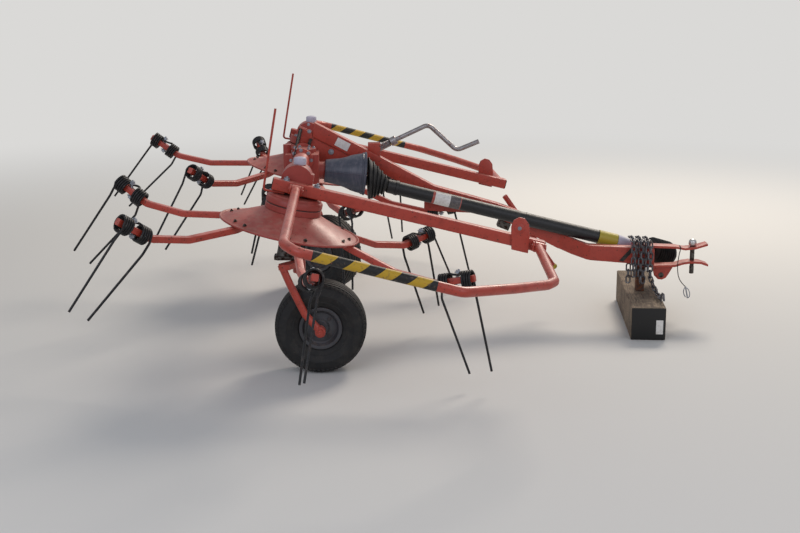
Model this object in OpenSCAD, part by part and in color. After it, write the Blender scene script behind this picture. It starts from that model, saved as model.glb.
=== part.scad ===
// Two-rotor pull-type hay tedder, parked with its drawbar end on a timber block.
// Frame: X forward to the hitch, Y to the machine's left, Z up, millimetres, floor at Z = 0.

/* [Rotors] */
// Half the distance between the two rotor shafts
rotor_half_spacing = 719; // [600:1:850]
// Height of the spring circle at the rotor shaft
rotor_z = 556; // [540:1:580]
// Forward tilt of the rotor plane in degrees
rotor_tilt = 11.6; // [0:0.1:20]
// Turn of the near rotor about its shaft in degrees
phase_near = -20.7; // [-60:0.1:60]
// Turn of the far rotor about its shaft in degrees
phase_far = -9.3; // [-60:0.1:60]
// Tine arms on each rotor
arm_count = 6; // [4:1:8]
// Disc rim radius
disc_r = 280; // [220:1:340]
// Disc rim height above the spring circle
disc_h = 31; // [10:1:60]
// Neck radius where the cone meets the hub
neck_r = 112; // [80:1:140]
// Neck height above the spring circle
neck_h = 96; // [60:1:140]
// Height of the hub top above the spring circle
hub_top_h = 160; // [150:1:166]

/* [Tine arms] */
// Side of the square arm bar
arm_side = 26; // [20:1:36]
// Radius of the bolt between a tine's two coils
tine_mid = 710; // [680:1:740]
// Distance between the two coil centres along the radius
coil_span = 82; // [76:1:96]
// Height of the coil centres below and above the spring circle
coil_dh = 17; // [0:1:30]
// Radius of the coil centreline
coil_r = 31; // [26:0.5:36]
// Tine wire diameter
wire_d = 9.5; // [8:0.5:12]
// Turns in each coil
coil_turns = 4; // [3:1:6]
// Tine length from the coil centre
tine_len = 366; // [300:1:460]
// Tine splay from the rotor shaft in degrees
tine_splay = 27.6; // [10:0.1:40]

/* [Wheels] */
// Tyre outside diameter
tyre_d = 370; // [340:1:460]
// Tyre width
tyre_w = 150; // [120:1:220]
// Rim outside diameter
rim_d = 172; // [150:1:230]
// Distance of the axle ahead of the rotor shaft
wheel_x = 125; // [80:1:180]
// Distance of the wheel's king-pin ahead of the rotor shaft
king_x = 42; // [30:1:60]
// Turn of the far wheel about its king-pin as parked in degrees
far_leg_turn = -35; // [-45:1:45]

/* [Rails and hoops] */
// Outer face of each rail beyond the rotor shaft
rail_out = 64; // [60:1:80]
// Side of the square rail tube
rail_side = 46; // [36:1:60]
// Guard tube diameter
hoop_d = 36; // [28:1:44]

/* [Drawbar and shaft] */
// Width of the drawbar tube
bar_w = 56; // [40:1:80]
// Outside diameter of the shaft guard tube
guard_d = 62; // [50:1:80]
// Hitch pin diameter
pin_d = 20; // [18:1:30]

/* [Timber block] */
// Length of the block across the machine
block_len = 730; // [400:1:900]
// Width of the block
block_w = 150; // [100:1:180]
// Height of the block
block_h = 145; // [100:1:180]
// Turn of the block on the floor in degrees
block_turn = -5; // [-10:1:10]

/* [Frame] */
// Distance of the row origin ahead of the rotor shafts
origin_x = 449; // [0:1:900]

/* [Hidden] */
tyre_r = tyre_d / 2;
rail_y = rotor_half_spacing + rail_out;
coil_in_r = tine_mid - coil_span / 2;
coil_out_r = tine_mid + coil_span / 2;
// Slope of the line through the two coils
coil_slope = atan2(2 * coil_dh, coil_span);
red = [0.72, 0.20, 0.13];
black = [0.09, 0.09, 0.10];
zinc = [0.62, 0.64, 0.68];
yellow = [0.74, 0.60, 0.12];
grey = [0.30, 0.33, 0.38];
white = [0.75, 0.73, 0.78];
steel = [0.45, 0.43, 0.41];
// Gap between seated pieces of one body
seat = 0.3;
// Gap between the turning hub and the fixed housing
hub_gap = 5;
// Height of the cross tube and of the timber's top set every other height
gear_over_hub = 42;
gear_z = rotor_z + hub_top_h + gear_over_hub;
cross_r = 36;
cross_x = 30;
// Drive shaft line, from the gearbox input to the front joint
shaft_x0 = 130;
shaft_x1 = 1548;
shaft_z0 = gear_z - 59.6;
shaft_z1 = block_h + 188.7;
shaft_yaw = atan(0.05);
shaft_tilt = atan((shaft_z0 - shaft_z1) / (shaft_x1 - shaft_x0));
shaft_r = 20;
// Tilt of the gearbox input
input_tilt = 5;
// Turn and droop of the shaft's front joint
joint_turn = 28;
joint_drop = 5;
// Rail line
rail_tilt = 13.73;
rail_in = rail_y - rail_side - seat;
// Hinges of the guards, ahead of the rotor shaft and out from the rail
hinge_x = [37, 984];
hinge_out = 23;
hinge_pin_r = 8;
// King-pin foot of each wheel
foot_z = rotor_z - 97.7;
foot_t = 16;
king_r = 12;
sleeve_r = 25.5;
sleeve_h = 55;
leg_r = 15;
leg_out = 100;
axle_r = 12.5;
// Chain wire, inner length and inner half width of a link
chain_d = 7;
chain_p = 28;
chain_w = 5.5;

function rail_z(x) = gear_z + 11 - (x + 54) * tan(rail_tilt);
function shaft_z(x) = shaft_z0 - (x - shaft_x0) * tan(shaft_tilt);

// A round bar between two points
module rod(a, b, r, fn = 48) {
  v = b - a;
  l = norm(v);
  translate(a)
    rotate([0, acos(v[2] / l), atan2(v[1], v[0])])
      cylinder(h = l, r = r, $fn = fn);
}

// A round bar through several points, with a slightly larger ball at each bend
module rod_path(pts, r, fn = 48, ball = 1.035) {
  for (i = [0 : len(pts) - 2])
    rod(pts[i], pts[i + 1], r, fn);
  for (i = [1 : len(pts) - 2])
    translate(pts[i]) sphere(r = r * ball, $fn = fn);
}

// A flat piece with the given XZ outline, from y0 to y1
module plate_y(outline, y0, y1) {
  translate([0, y1, 0])
    rotate([90, 0, 0])
      linear_extrude(y1 - y0)
        polygon(outline);
}

// A flat-sided bar from a to b in the XZ plane, w across Y and h deep
module bar_xz(a, b, w, h, y = 0) {
  v = b - a;
  l = norm(v);
  translate([a[0], y, a[1]])
    rotate([0, -atan2(v[1], v[0]), 0])
      translate([0, -w / 2, -h / 2])
        cube([l, w, h]);
}

// Places its children on one rotor, side is -1 near and 1 far
module on_rotor(side) {
  translate([0, side * rotor_half_spacing, rotor_z])
    rotate([0, rotor_tilt, 0])
      children();
}

// Places its children along the drive shaft from the given X, with Z along the shaft
module along_shaft(x) {
  translate([shaft_x0, 0, shaft_z0])
    rotate([0, 90 + shaft_tilt, shaft_yaw])
      translate([0, 0, (x - shaft_x0) / cos(shaft_tilt) / cos(shaft_yaw)])
        children();
}

module block() {
  color([0.40, 0.33, 0.27])
    translate([1561, 40, 0])
      rotate([0, 0, block_turn])
        translate([-block_w / 2, -block_len / 2, 0])
          cube([block_w, block_len, block_h]);
}

// Side outline of the drawbar, columns x and z, its rear part hung from the gearbox
BAR_TOP = [[83, gear_z + 140], [335, gear_z + 8], [622, gear_z - 147], [905, gear_z - 227],
  [990, gear_z - 258], [1116, block_h + 292], [1195, block_h + 249.7], [1270, block_h + 223.7],
  [1310, block_h + 214], [1606, block_h + 198]];
BAR_LOW = [[1606, block_h + 120], [1300, block_h + 147], [1240, block_h + 161], [1182, block_h + 180],
  [1116, block_h + 214], [970, gear_z - 321], [902, gear_z - 294], [640, gear_z - 228],
  [240, gear_z - 9], [73, gear_z + 74]];
// Plan line of the drawbar's middle, columns x and y
BAR_PLAN = [[60, 140], [1190, 106], [1315, 0], [1700, 0]];

// Solid drawbar shape, grown sideways by the given amount
module bar_solid(grow = 0) {
  w = bar_w / 2 + grow;
  n = len(BAR_PLAN);
  intersection() {
    plate_y(concat([for (p = BAR_TOP) p + [0, grow]], [for (p = BAR_LOW) p - [0, grow]]), -200, 300);
    linear_extrude(1000)
      polygon(concat([for (p = BAR_PLAN) p + [0, w]], [for (i = [n - 1 : -1 : 0]) BAR_PLAN[i] - [0, w]]));
  }
}

module drawbar() {
  color(red) bar_solid();
}

// Two bracket plates that carry the drawbar's rear end on the cross tube, and the gusset under it
module drawbar_plates() {
  color(red) {
    difference() {
      for (y = [114, 152])
        plate_y([[2, gear_z - 32], [-1, gear_z - 10], [15, gear_z + 121], [70, gear_z + 96],
          [76, gear_z + 60], [237, gear_z - 22], [160, gear_z - 32], [75, gear_z - 36]], y, y + 10);
      rod([cross_x, 60, gear_z], [cross_x, 200, gear_z], cross_r + seat);
      bar_solid(seat);
    }
    difference() {
      plate_y([[576, gear_z - 262], [785, gear_z - 274], [785, gear_z - 250], [576, gear_z - 180]], 116, 124);
      bar_solid(seat);
    }
  }
}

// Upper and lower tongue as bent plates, columns x and height over the timber
UPPER = [[1510, 208], [1606, 201], [1700, 197], [1745, 189], [1790, 193], [1845, 209]];
LOWER = [[1510, 116], [1606, 110.5], [1700, 112.5], [1737, 123.5], [1770, 128.5], [1818, 125.5], [1850, 114]];
tongue_t = 10;
pin_x = 1782;

module tongue(line, t) {
  n = len(line);
  plate_y(concat([for (p = line) p + [0, block_h + t]], [for (i = [n - 1 : -1 : 0]) line[i] + [0, block_h]]), -30, 30);
}

// Upper tongue on the bar, lower tongue under it with its lug
module hitch_tongues() {
  color(red) {
    difference() {
      tongue(UPPER, tongue_t);
      translate([pin_x, 0, block_h + 150]) cylinder(h = 90, r = pin_d / 2 + 0.3, $fn = 48);
      bar_solid(seat);
    }
    difference() {
      union() {
        tongue(LOWER, tongue_t);
        plate_y([[1606, block_h + 112], [1606, block_h + 92], [1612, block_h + 69], [1628, block_h + 53],
          [1648, block_h + 51], [1664, block_h + 59], [1676, block_h + 77], [1696, block_h + 112]], -12, 0);
      }
      translate([pin_x, 0, block_h + 80]) cylinder(h = 90, r = pin_d / 2 + 0.3, $fn = 48);
      translate([1642, -20, block_h + 73]) rotate([-90, 0, 0]) cylinder(h = 40, r = 8.5, $fn = 48);
      bar_solid(seat);
    }
  }
}

module hitch_pin() {
  color(zinc)
    translate([pin_x, 0, block_h + 77])
      rotate_extrude($fn = 64)
        polygon([[0, 0], [pin_d / 2, 0], [pin_d / 2, 36], [pin_d / 2 - 1.5, 36], [pin_d / 2 - 1.5, 42],
          [pin_d / 2, 42], [pin_d / 2, 127], [15, 130], [18, 138], [17, 148], [11, 157], [0, 160]]);
}

// Short leg that hides in the chain and stands on the timber
module rest_leg() {
  color(red)
    difference() {
      translate([1530, -18, block_h + seat / 2]) cube([36, 36, 140]);
      bar_solid(seat);
      plate_y([[1480, block_h + 116 + seat], [1700, block_h + 111], [1700, block_h + 400], [1480, block_h + 400]],
        -60, 60);
      tongue(LOWER, 200);
    }
}

function seg_len(p, i) = norm(p[i + 1] - p[i]);

// Point at distance s along a path
function along(p, s, i = 0) =
  i >= len(p) - 2 || s <= seg_len(p, i) ?
    p[i] + (p[i + 1] - p[i]) * s / seg_len(p, i) :
    along(p, s - seg_len(p, i), i + 1);

function stadium(r) =
  let (c = chain_p / 2 - chain_w)
    concat([for (a = [0 : 60 : 180]) [r * cos(a), c + r * sin(a)]],
      [for (a = [180 : 60 : 360]) [r * cos(a), -c + r * sin(a)]]);

// One chain link, long side along Z
module link() {
  rotate([90, 0, 0])
    translate([0, 0, -chain_d / 2])
      linear_extrude(chain_d)
        difference() {
          polygon(stadium(chain_w + chain_d));
          polygon(stadium(chain_w));
        }
}

// Links along a path, each a quarter turn from the last
module strand(path, count) {
  step = chain_p - 0.8;
  for (i = [0 : count - 1]) {
    a = along(path, i * step);
    b = along(path, (i + 1) * step);
    v = b - a;
    translate((a + b) / 2)
      rotate([0, acos(v[2] / norm(v)), atan2(v[1], v[0])])
        rotate([0, 0, (i + 1) % 2 * 90])
          link();
  }
}

// Strands of the chain, each with its link count and its path of x, y and height over the timber
STRANDS = [
  [8, [[1520, 26, 230.2], [1520, -30, 230.2], [1520, -50, 210], [1520, -50, 20]]],
  [9, [[1552, 26, 227.8], [1552, -30, 227.8], [1552, -50, 208], [1552, -52, 5]]],
  [14, [[1584, 26, 225.5], [1584, -30, 225.5], [1584, -50, 206], [1584, -52, 75], [1594, -84, 36], [1606, -135, 16],
    [1608, -300, 15]]],
  [3, [[1492, -14, 123.4], [1492, -17, 10]]]];

module chain() {
  color(steel)
    for (st = STRANDS)
      strand([for (p = st[1]) p + [0, 0, block_h]], st[0]);
}

// Tether wire from the upper tongue to its clip, x, y and height over the timber
TETHER = [[1722, -4, 205.8], [1722, -14, 205.8], [1722, -24, 205.8], [1722, -29.6, 205.2], [1721.5, -33.3, 202.5],
  [1720.5, -34.6, 196], [1718.5, -35.5, 187], [1715.5, -36.5, 174], [1712.5, -37.5, 156], [1710.5, -38, 138],
  [1710, -38, 118], [1711, -38, 98], [1714, -38, 78], [1720, -38, 60], [1729, -38, 45], [1739, -38, 33.5],
  [1748, -38, 25]];
tether_r = 2;

module tether() {
  color(black)
    rod_path([for (p = TETHER) p + [0, 0, block_h]], tether_r, 16);
}

// Ring and pin of the clip at the end of the tether
module tether_clip() {
  color(zinc)
    translate([1751, -38, block_h]) {
      rod([0, 0, 17.6], [10, 0, -28], 4);
      rod([0, 0, 17.5], [-1.3, 0, 24], 5);
    }
}

// Strap slung round the drawbar, near face
module drawbar_strap() {
  color(black)
    plate_y([[1446, block_h + 144], [1464, block_h + 139], [1512, block_h + 192], [1496, block_h + 199]],
      -28.3 - 2.7 - seat, -28 - seat);
}

// Flat strap with its round pin on the rear bracket
module gear_strap() {
  color(steel)
    difference() {
      bar_xz([-19, gear_z - 44], [22, gear_z + 112], 6, 16, 110.7);
      rod([cross_x, 60, gear_z], [cross_x, 200, gear_z], cross_r + seat);
    }
  color(zinc)
    rod([57, 106.6, gear_z + 42], [68, 106.6, gear_z + 68], 7);
}

module pto_shaft() {
  color(steel)
    along_shaft(150) cylinder(h = (shaft_x1 - 150) / cos(shaft_tilt) / cos(shaft_yaw), r = shaft_r, $fn = 48);
}

// Gearbox input, with Z along it, less steep than the shaft
module at_input() {
  translate([105, -1, gear_z - 57.5])
    rotate([0, 90 + input_tilt, shaft_yaw])
      children();
}

// Trumpet-shaped cover over the rear joint
module pto_cone() {
  color(grey)
    at_input()
      rotate_extrude($fn = 96)
        polygon([[38.3, 24], [50, 24], [60, 90], [79, 144], [90, 192], [96, 200], [93, 204], [85, 196],
          [73, 144], [55, 94], [45, 30], [38.3, 30]]);
}

// Ribbed boot between the cover and the shaft's guard, columns x, z under the cross tube and radius
BOOT = [[322, -99, 97], [338, -104, 84], [354, -111, 71], [370, -118, 58], [386, -125, 46]];

module pto_bellows() {
  color(black)
    difference() {
      for (i = [0 : len(BOOT) - 1])
        translate([BOOT[i][0], (BOOT[i][0] - shaft_x0) * tan(shaft_yaw), gear_z + BOOT[i][1]])
          rotate([0, 90 + shaft_tilt * i / (len(BOOT) - 1), shaft_yaw]) {
            cylinder(h = 8, r = BOOT[i][2], $fn = 96);
            translate([0, 0, 4]) cylinder(h = 15, r1 = BOOT[i][2] - 4, r2 = BOOT[i][2] - 19, $fn = 96);
          }
      along_shaft(142) cylinder(h = 400, r = shaft_r + seat, $fn = 48);
    }
}

module pto_guard() {
  color(black)
    along_shaft(405)
      rotate_extrude($fn = 64)
        polygon([[20.3, 1.5], [guard_d / 2, 1.5], [guard_d / 2, 38], [guard_d / 2 + 2.5, 38], [guard_d / 2 + 2.5, 50],
          [guard_d / 2 - 1, 50], [guard_d / 2 - 1, 988], [20.3, 988]]);
}

module pto_bands() {
  color(yellow)
    along_shaft(1363)
      rotate_extrude($fn = 64)
        polygon([[20.3, 0], [guard_d / 2 + 1, 0], [guard_d / 2 + 1, 88], [20.3, 88]]);
  color(white)
    along_shaft(1450)
      rotate_extrude($fn = 64)
        polygon([[20.3, 0], [guard_d / 2, 0], [22, 70], [20.3, 70]]);
}

// Front joint hangs off to the far side of the tongues
module at_joint() {
  along_shaft(shaft_x1)
    rotate([-joint_turn, 0, 0]) rotate([0, joint_drop, 0])
      children();
}

module pto_joint() {
  color(steel)
    difference() {
      at_joint() {
        sphere(r = 27, $fn = 48);
        cylinder(h = 180, r = 24, $fn = 48);
      }
      along_shaft(1400) cylinder(h = (shaft_x1 - 1400) / cos(shaft_tilt) / cos(shaft_yaw) + seat, r = shaft_r + seat,
        $fn = 48);
    }
}

module pto_bell() {
  color(black)
    at_joint()
      rotate_extrude($fn = 96)
        polygon(concat([[24.3, 82], [44, 82]],
          [for (i = [0 : 7]) each [[60, 86 + i * 14], [60, 92 + i * 14], [52, 97 + i * 14]]],
          [[52, 206], [46, 206], [46, 180], [24.3, 180]]));
}

module pto_yoke() {
  color(steel)
    at_joint()
      difference() {
        translate([0, 0, 180.3]) cylinder(h = 50, r = 30, $fn = 48);
        translate([0, 0, 190]) cylinder(h = 60, r = 17.5, $fn = 48);
      }
}

module centre_gearbox() {
  color(red) {
    translate([-40, -80, gear_z - 108]) cube([145, 160, 130]);
    at_input() translate([0, 0, -6]) cylinder(h = 44, r = 38, $fn = 64);
    translate([40, 0, gear_z + 21]) cylinder(h = 20, r = 52, $fn = 64);
    translate([-34, 0, gear_z - 60]) cylinder(h = 118, r = 18, $fn = 48);
  }
}

module cross_tubes() {
  color(red)
    for (side = [-1, 1]) {
      rod([cross_x, side * (80 + seat), gear_z], [cross_x, side * (rotor_half_spacing - 82 - seat), gear_z], cross_r);
      rod([cross_x, side * (80 + seat), gear_z], [cross_x, side * 92, gear_z], 52);
    }
}

// Gear housing over each rotor, its far half cut away where the rail runs past
module gear_housings() {
  h0 = hub_top_h + hub_gap;
  color(red)
    for (side = [-1, 1])
      difference() {
        union() {
          on_rotor(side) {
            translate([0, 0, h0]) cylinder(h = 34, r = 92, $fn = 64);
            translate([0, 0, h0]) cylinder(h = 90, r = 58, $fn = 64);
          }
          translate([38, side * (rotor_half_spacing - 82), gear_z + 14])
            rotate([side * -90, 0, 0]) cylinder(h = 130, r = 62, $fn = 64);
          translate([50, side * (rotor_half_spacing - 30), gear_z + 40]) cylinder(h = 58, r = 22, $fn = 48);
        }
        translate([-300, side > 0 ? rail_in : -rail_in - 200, gear_z - 258]) cube([600, 200, 600]);
        on_rotor(side) translate([0, 0, h0 - 200]) cylinder(h = 200, r = 150, $fn = 64);
        rod([cross_x, side * 500, gear_z], [cross_x, side * (rotor_half_spacing - 82), gear_z], cross_r + seat);
      }
}

// Fixed column of each rotor with the foot and king-pin of its wheel
module columns() {
  color(steel)
    for (side = [-1, 1]) {
      on_rotor(side)
        translate([0, 0, -90]) cylinder(h = 90 + hub_top_h + hub_gap - seat, r = 30, $fn = 48);
      translate([0, side * rotor_half_spacing, 0]) {
        translate([0, 0, foot_z])
          linear_extrude(foot_t)
            polygon([[-56, -24], [-44, -36], [20, -36], [king_x + 24, -28], [king_x + 30, -18],
              [king_x + 30, 18], [king_x + 24, 28], [20, 36], [-44, 36], [-56, 24]]);
        translate([king_x, 0, foot_z - sleeve_h + 4]) cylinder(h = sleeve_h, r = king_r, $fn = 48);
      }
    }
}

module rails() {
  color(red)
    for (side = [-1, 1])
      bar_xz([-54, rail_z(-54)], [1008, rail_z(1008)], rail_side, rail_side, side * (rail_y - rail_side / 2));
}

// Ear plate on each rail
module rail_brackets() {
  color(red)
    for (side = [-1, 1]) {
      s0 = side > 0 ? rail_y + seat : -rail_y - seat - 8;
      plate_y([for (p = [[878, -253], [944, -269], [950, -198], [946, -152], [930, -130], [908, -124], [886, -136],
        [876, -162]]) p + [0, gear_z]], s0, s0 + 8);
    }
}

// Places its children at one hinge of a guard, X along the rail and Y outwards
module at_hinge(side, x) {
  translate([x, side * (rail_y + hinge_out), rail_z(x)])
    rotate([0, rail_tilt, 0])
      mirror([0, side < 0 ? 1 : 0, 0])
        children();
}

// Two cheeks and a pin at each hinge of the guards
module hoop_forks() {
  t = 8;
  inner = hoop_d / 2 + 0.4;
  color(red)
    for (side = [-1, 1], x = hinge_x)
      at_hinge(side, x) {
        for (s = [-1, 1])
          translate([s * (inner + t / 2) - t / 2, 0, 0])
            rotate([90, 0, 90])
              linear_extrude(t)
                polygon([[seat - hinge_out, -18], [8, -18], [16, -8], [16, 8], [8, 18], [seat - hinge_out, 18]]);
        translate([-inner - t - 3, 0, 0]) rotate([0, 90, 0]) cylinder(h = 2 * (inner + t + 3), r = hinge_pin_r, $fn = 48);
      }
}

// Guard hoop, columns x, distance out from the rail's face, and z from the cross tube
HOOP = [[31, 857, -48], [75, 917, -63], [623, 917, -203], [815, 722, -238], [950, 560, -265], [984, 497, -268]];

// A tube along points, each leg cut on the bend's bisecting plane and seated against the next
module mitred_path(pts, r) {
  n = len(pts);
  dir = [for (i = [0 : n - 2]) (pts[i + 1] - pts[i]) / norm(pts[i + 1] - pts[i])];
  for (i = [0 : n - 2])
    difference() {
      rod(pts[i] - (i > 0 ? r : 0) * dir[i], pts[i + 1] + (i < n - 2 ? r : 0) * dir[i], r, 48);
      if (i > 0)
        facing(pts[i], dir[i - 1] + dir[i]) translate([-4 * r, -4 * r, 0.15 - 8 * r]) cube(8 * r);
      if (i < n - 2)
        facing(pts[i + 1], dir[i] + dir[i + 1]) translate([-4 * r, -4 * r, -0.15]) cube(8 * r);
    }
}

module facing(at, v) {
  translate(at)
    rotate([0, acos(v[2] / norm(v)), atan2(v[1], v[0])])
      children();
}

module hoop(side) {
  ends = [for (x = hinge_x) [x, side * (rail_y + 12), rail_z(x)]];
  color(red)
    difference() {
      mitred_path(concat([ends[0]], [for (p = HOOP) [p[0], side * (rail_y + p[1]), gear_z + p[2]]], [ends[1]]), hoop_d / 2);
      for (x = hinge_x)
        at_hinge(side, x) translate([-40, 0, 0]) rotate([0, 90, 0]) cylinder(h = 80, r = hinge_pin_r + 0.05, $fn = 48);
    }
}

module hoop_near() { hoop(-1); }
module hoop_far() { hoop(1); }

// Wheel-angle levers, from under the rail's rear end back and up beside it
module levers() {
  under = rail_side / 2 / cos(rail_tilt) + 4.5 + seat + 0.3;
  low = [-91, gear_z - 14];
  lever_y = rail_y - 19;
  color(red)
    for (side = [-1, 1]) {
      rod([-10, side * lever_y, rail_z(-10) - under], [low[0], side * lever_y, low[1]], 4.5);
      rod([low[0], side * lever_y, low[1]], [-38, side * lever_y, gear_z + 301], 4.5);
      translate([low[0], side * lever_y, low[1]]) sphere(r = 6.5, $fn = 48);
    }
}

crank_y = 130;

module crank_spindle() {
  color(zinc)
    difference() {
      union() {
        rod([338, crank_y, gear_z + 4], [425, crank_y, gear_z + 48], 16);
        rod([424, crank_y, gear_z + 47.5], [450, crank_y, gear_z + 60], 20);
        rod_path([[440, crank_y, gear_z + 56], [594, crank_y, gear_z + 128], [722, crank_y, gear_z + 10],
          [822, crank_y, gear_z + 51]], 10.5);
      }
      bar_solid(seat);
    }
}

// Two cheeks on top of the bar that hold the crank's housing
module crank_mount() {
  color(red)
    for (s = [-1, 1])
      difference() {
        translate([322, crank_y + s * (16 + seat + 4) - 4, gear_z - 30]) cube([56, 8, 76]);
        bar_solid(seat);
      }
}

stand_y = 161;

module stand_holder() {
  color(red)
    difference() {
      rod([1004, stand_y, gear_z - 288], [1046, stand_y, gear_z - 348], 22);
      rod([900, stand_y, gear_z - 139.4], [1200, stand_y, gear_z - 568], 12.05);
      bar_solid(seat);
    }
}

module stand_tube() {
  color(red) rod([945, stand_y, gear_z - 203.7], [1174, stand_y, gear_z - 530.9], 12);
}

module stand_cap() {
  color(yellow) rod([1174.2, stand_y, gear_z - 531.2], [1185, stand_y, gear_z - 546.6], 16);
}

// Wheel leg with its king-pin sleeve, seen with the wheel straight, out is +1 to the far side
module leg(side) {
  top = [-24, side * leg_out, foot_z - 12];
  color(red) {
    difference() {
      union() {
        translate([king_x, 0, foot_z - seat - sleeve_h]) cylinder(h = sleeve_h, r = sleeve_r, $fn = 48);
        translate([0, 0, foot_z - seat - 22])
          linear_extrude(22)
            polygon([[king_x - 16, side * 18], [king_x + 16, side * 18], [8, side * 112], [-34, side * 112],
              [-34, side * 90]]);
      }
      translate([king_x, 0, foot_z - sleeve_h - 30]) cylinder(h = 100, r = king_r + 0.05, $fn = 48);
    }
    difference() {
      rod_path([top, [10, side * leg_out, tyre_r + 189], [66, side * leg_out, tyre_r + 70],
        [wheel_x, side * leg_out, tyre_r]], leg_r);
      translate([-100, side > 0 ? 0 : -200, foot_z - seat - 22]) cube([300, 200, 60]);
    }
    rod([wheel_x, side * (leg_out + 15), tyre_r], [wheel_x, side * -60, tyre_r], axle_r);
  }
}

// Turns its children about the far wheel's king-pin by its parked angle
module turned(side) {
  a = side > 0 ? far_leg_turn : 0;
  translate([king_x, side * rotor_half_spacing, 0])
    rotate([0, 0, a])
      translate([-king_x, 0, 0])
        children();
}

module leg_near() { turned(-1) leg(-1); }
module leg_far() { turned(1) leg(1); }

module rim() {
  color(grey)
    rotate([90, 0, 0])
      rotate_extrude($fn = 96)
        polygon([[12.55, -52], [34, -52], [34, -40], [62, -34], [70, -56], [rim_d / 2, -58], [rim_d / 2, -50],
          [76, -44], [76, 44], [rim_d / 2, 50], [rim_d / 2, 58], [70, 56], [62, 34], [34, 40], [34, 52], [12.55, 52]]);
}

// Outer steps of the tyre, columns radius and half width
TYRE = [[tyre_r, tyre_w * 0.2], [tyre_r - 3, tyre_w * 0.35], [tyre_r - 13, tyre_w * 0.453], [tyre_r - 35, tyre_w / 2],
  [118, tyre_w * 0.467]];

module tyre() {
  color(black)
    rotate([90, 0, 0])
      difference() {
        hull()
          for (p = TYRE)
            translate([0, 0, -p[1]]) cylinder(h = 2 * p[1], r = p[0], $fn = 60);
        translate([0, 0, -tyre_w]) cylinder(h = 2 * tyre_w, r = 76.3, $fn = 48);
        for (s = [-1, 1])
          translate([0, 0, s * (tyre_w + 43.7) - tyre_w]) cylinder(h = 2 * tyre_w, r = rim_d / 2 + seat, $fn = 48);
      }
}

module at_wheel(side) {
  turned(side) translate([wheel_x, 0, tyre_r]) children();
}

module rim_near() { at_wheel(-1) rim(); }
module rim_far() { at_wheel(1) rim(); }
module tyre_near() { at_wheel(-1) tyre(); }
module tyre_far() { at_wheel(1) tyre(); }

module hub() {
  color(red)
    rotate_extrude($fn = 96)
      polygon([[30.05, 0], [neck_r, 0], [neck_r, 22], [neck_r - 3, 24], [neck_r - 3, 27], [neck_r, 29], [neck_r, 50],
        [neck_r - 8, 54], [neck_r - 8, hub_top_h - neck_h], [30.05, hub_top_h - neck_h]]);
}

module hub_near() { on_rotor(-1) translate([0, 0, neck_h]) hub(); }
module hub_far() { on_rotor(1) translate([0, 0, neck_h]) hub(); }

module disc() {
  color(red)
    rotate_extrude($fn = 96)
      polygon([[60, neck_h], [60, neck_h - 5], [neck_r, neck_h - 5], [disc_r - 18, disc_h - 5],
        [disc_r, disc_h - 5], [disc_r, disc_h], [disc_r - 18, disc_h], [neck_r, neck_h]]);
}

module disc_near() { on_rotor(-1) disc(); }
module disc_far() { on_rotor(1) disc(); }

// Underside of the washer on the bolt that holds each pair of tines
bolt_z = 31;

// Side outline of one tine arm, columns radius and height over the spring circle, its last leg through both coils
arm_dir = [cos(coil_slope), sin(coil_slope)];
arm_up = [-sin(coil_slope), cos(coil_slope)] * arm_side / 2;
arm_bend = [coil_in_r, -coil_dh] - arm_dir * 39.2;
arm_end = [coil_out_r, coil_dh] + arm_dir * 30.5;
arm_mitre = [-tan(coil_slope / 2), 1] * arm_side / 2;
ARM = [[125, 84.7], [261.5, 25.5], [300, 18], [465, arm_bend[1] + arm_side / 2], arm_bend + arm_mitre,
  arm_end + arm_up, arm_end - arm_up, arm_bend - arm_mitre, [460, arm_bend[1] - arm_side / 2], [250, 1], [125, 56]];

module arms(phase) {
  color(red)
    for (i = [0 : arm_count - 1])
      rotate([0, 0, phase + i * 360 / arm_count]) {
        plate_y(ARM, -arm_side / 2, arm_side / 2);
        translate([tine_mid, 0, -24]) cylinder(h = bolt_z + 24, r = 5.5, $fn = 32);
        translate([tine_mid, 0, bolt_z]) cylinder(h = 4, r = 14, $fn = 32);
      }
}

module arms_near() { on_rotor(-1) arms(phase_near); }
module arms_far() { on_rotor(1) arms(phase_far); }

// One coil as a ribbed sleeve round the arm, one rib for each turn of the wire
module coil() {
  pitch = wire_d - 0.5;
  half = coil_turns * pitch / 2;
  crest = coil_r + wire_d / 2;
  rotate_extrude($fn = 48)
    polygon(concat(
      [[coil_r - wire_d / 2, half], [coil_r - wire_d / 2, -half], [crest - 3.5, -half]],
      [for (k = [0 : coil_turns - 1]) each [
        [crest, -half + (k + 0.3) * pitch],
        [crest, -half + (k + 0.7) * pitch],
        [crest - 3.5, -half + (k + 1) * pitch]]]));
}

module tine_pair(hand) {
  sl = coil_slope;
  w = (coil_turns / 2 - 0.5) * (wire_d - 0.5);
  for (s = [-1, 1]) {
    c = [tine_mid + s * coil_span / 2, 0, s * coil_dh];
    translate(c) rotate([0, 90 - sl, 0]) coil();
    start = c + [s * w * cos(sl), hand * coil_r, s * w * sin(sl)];
    kink = start + [18 + s * 4, hand * -12, -62];
    tip = [c[0] + tine_len * sin(tine_splay), hand * 8, c[2] - tine_len * cos(tine_splay)];
    rod(start + [0, 0, -6], kink, wire_d / 2);
    rod(kink, tip, wire_d / 2);
    translate(kink) sphere(r = wire_d / 2 * 1.04, $fn = 32);
  }
  // Loop between the two coils, round the arm's bolt
  loop = [tine_mid, -hand * 11, bolt_z - wire_d / 2 * 1.04 - seat];
  rod([coil_in_r + w * cos(sl), -hand * (coil_r - 3), -coil_dh + w * sin(sl) + 12], loop, wire_d / 2);
  rod([coil_out_r - w * cos(sl), -hand * (coil_r - 3), coil_dh - w * sin(sl) + 15], loop, wire_d / 2);
  translate(loop) sphere(r = wire_d / 2 * 1.04, $fn = 32);
}

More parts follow.
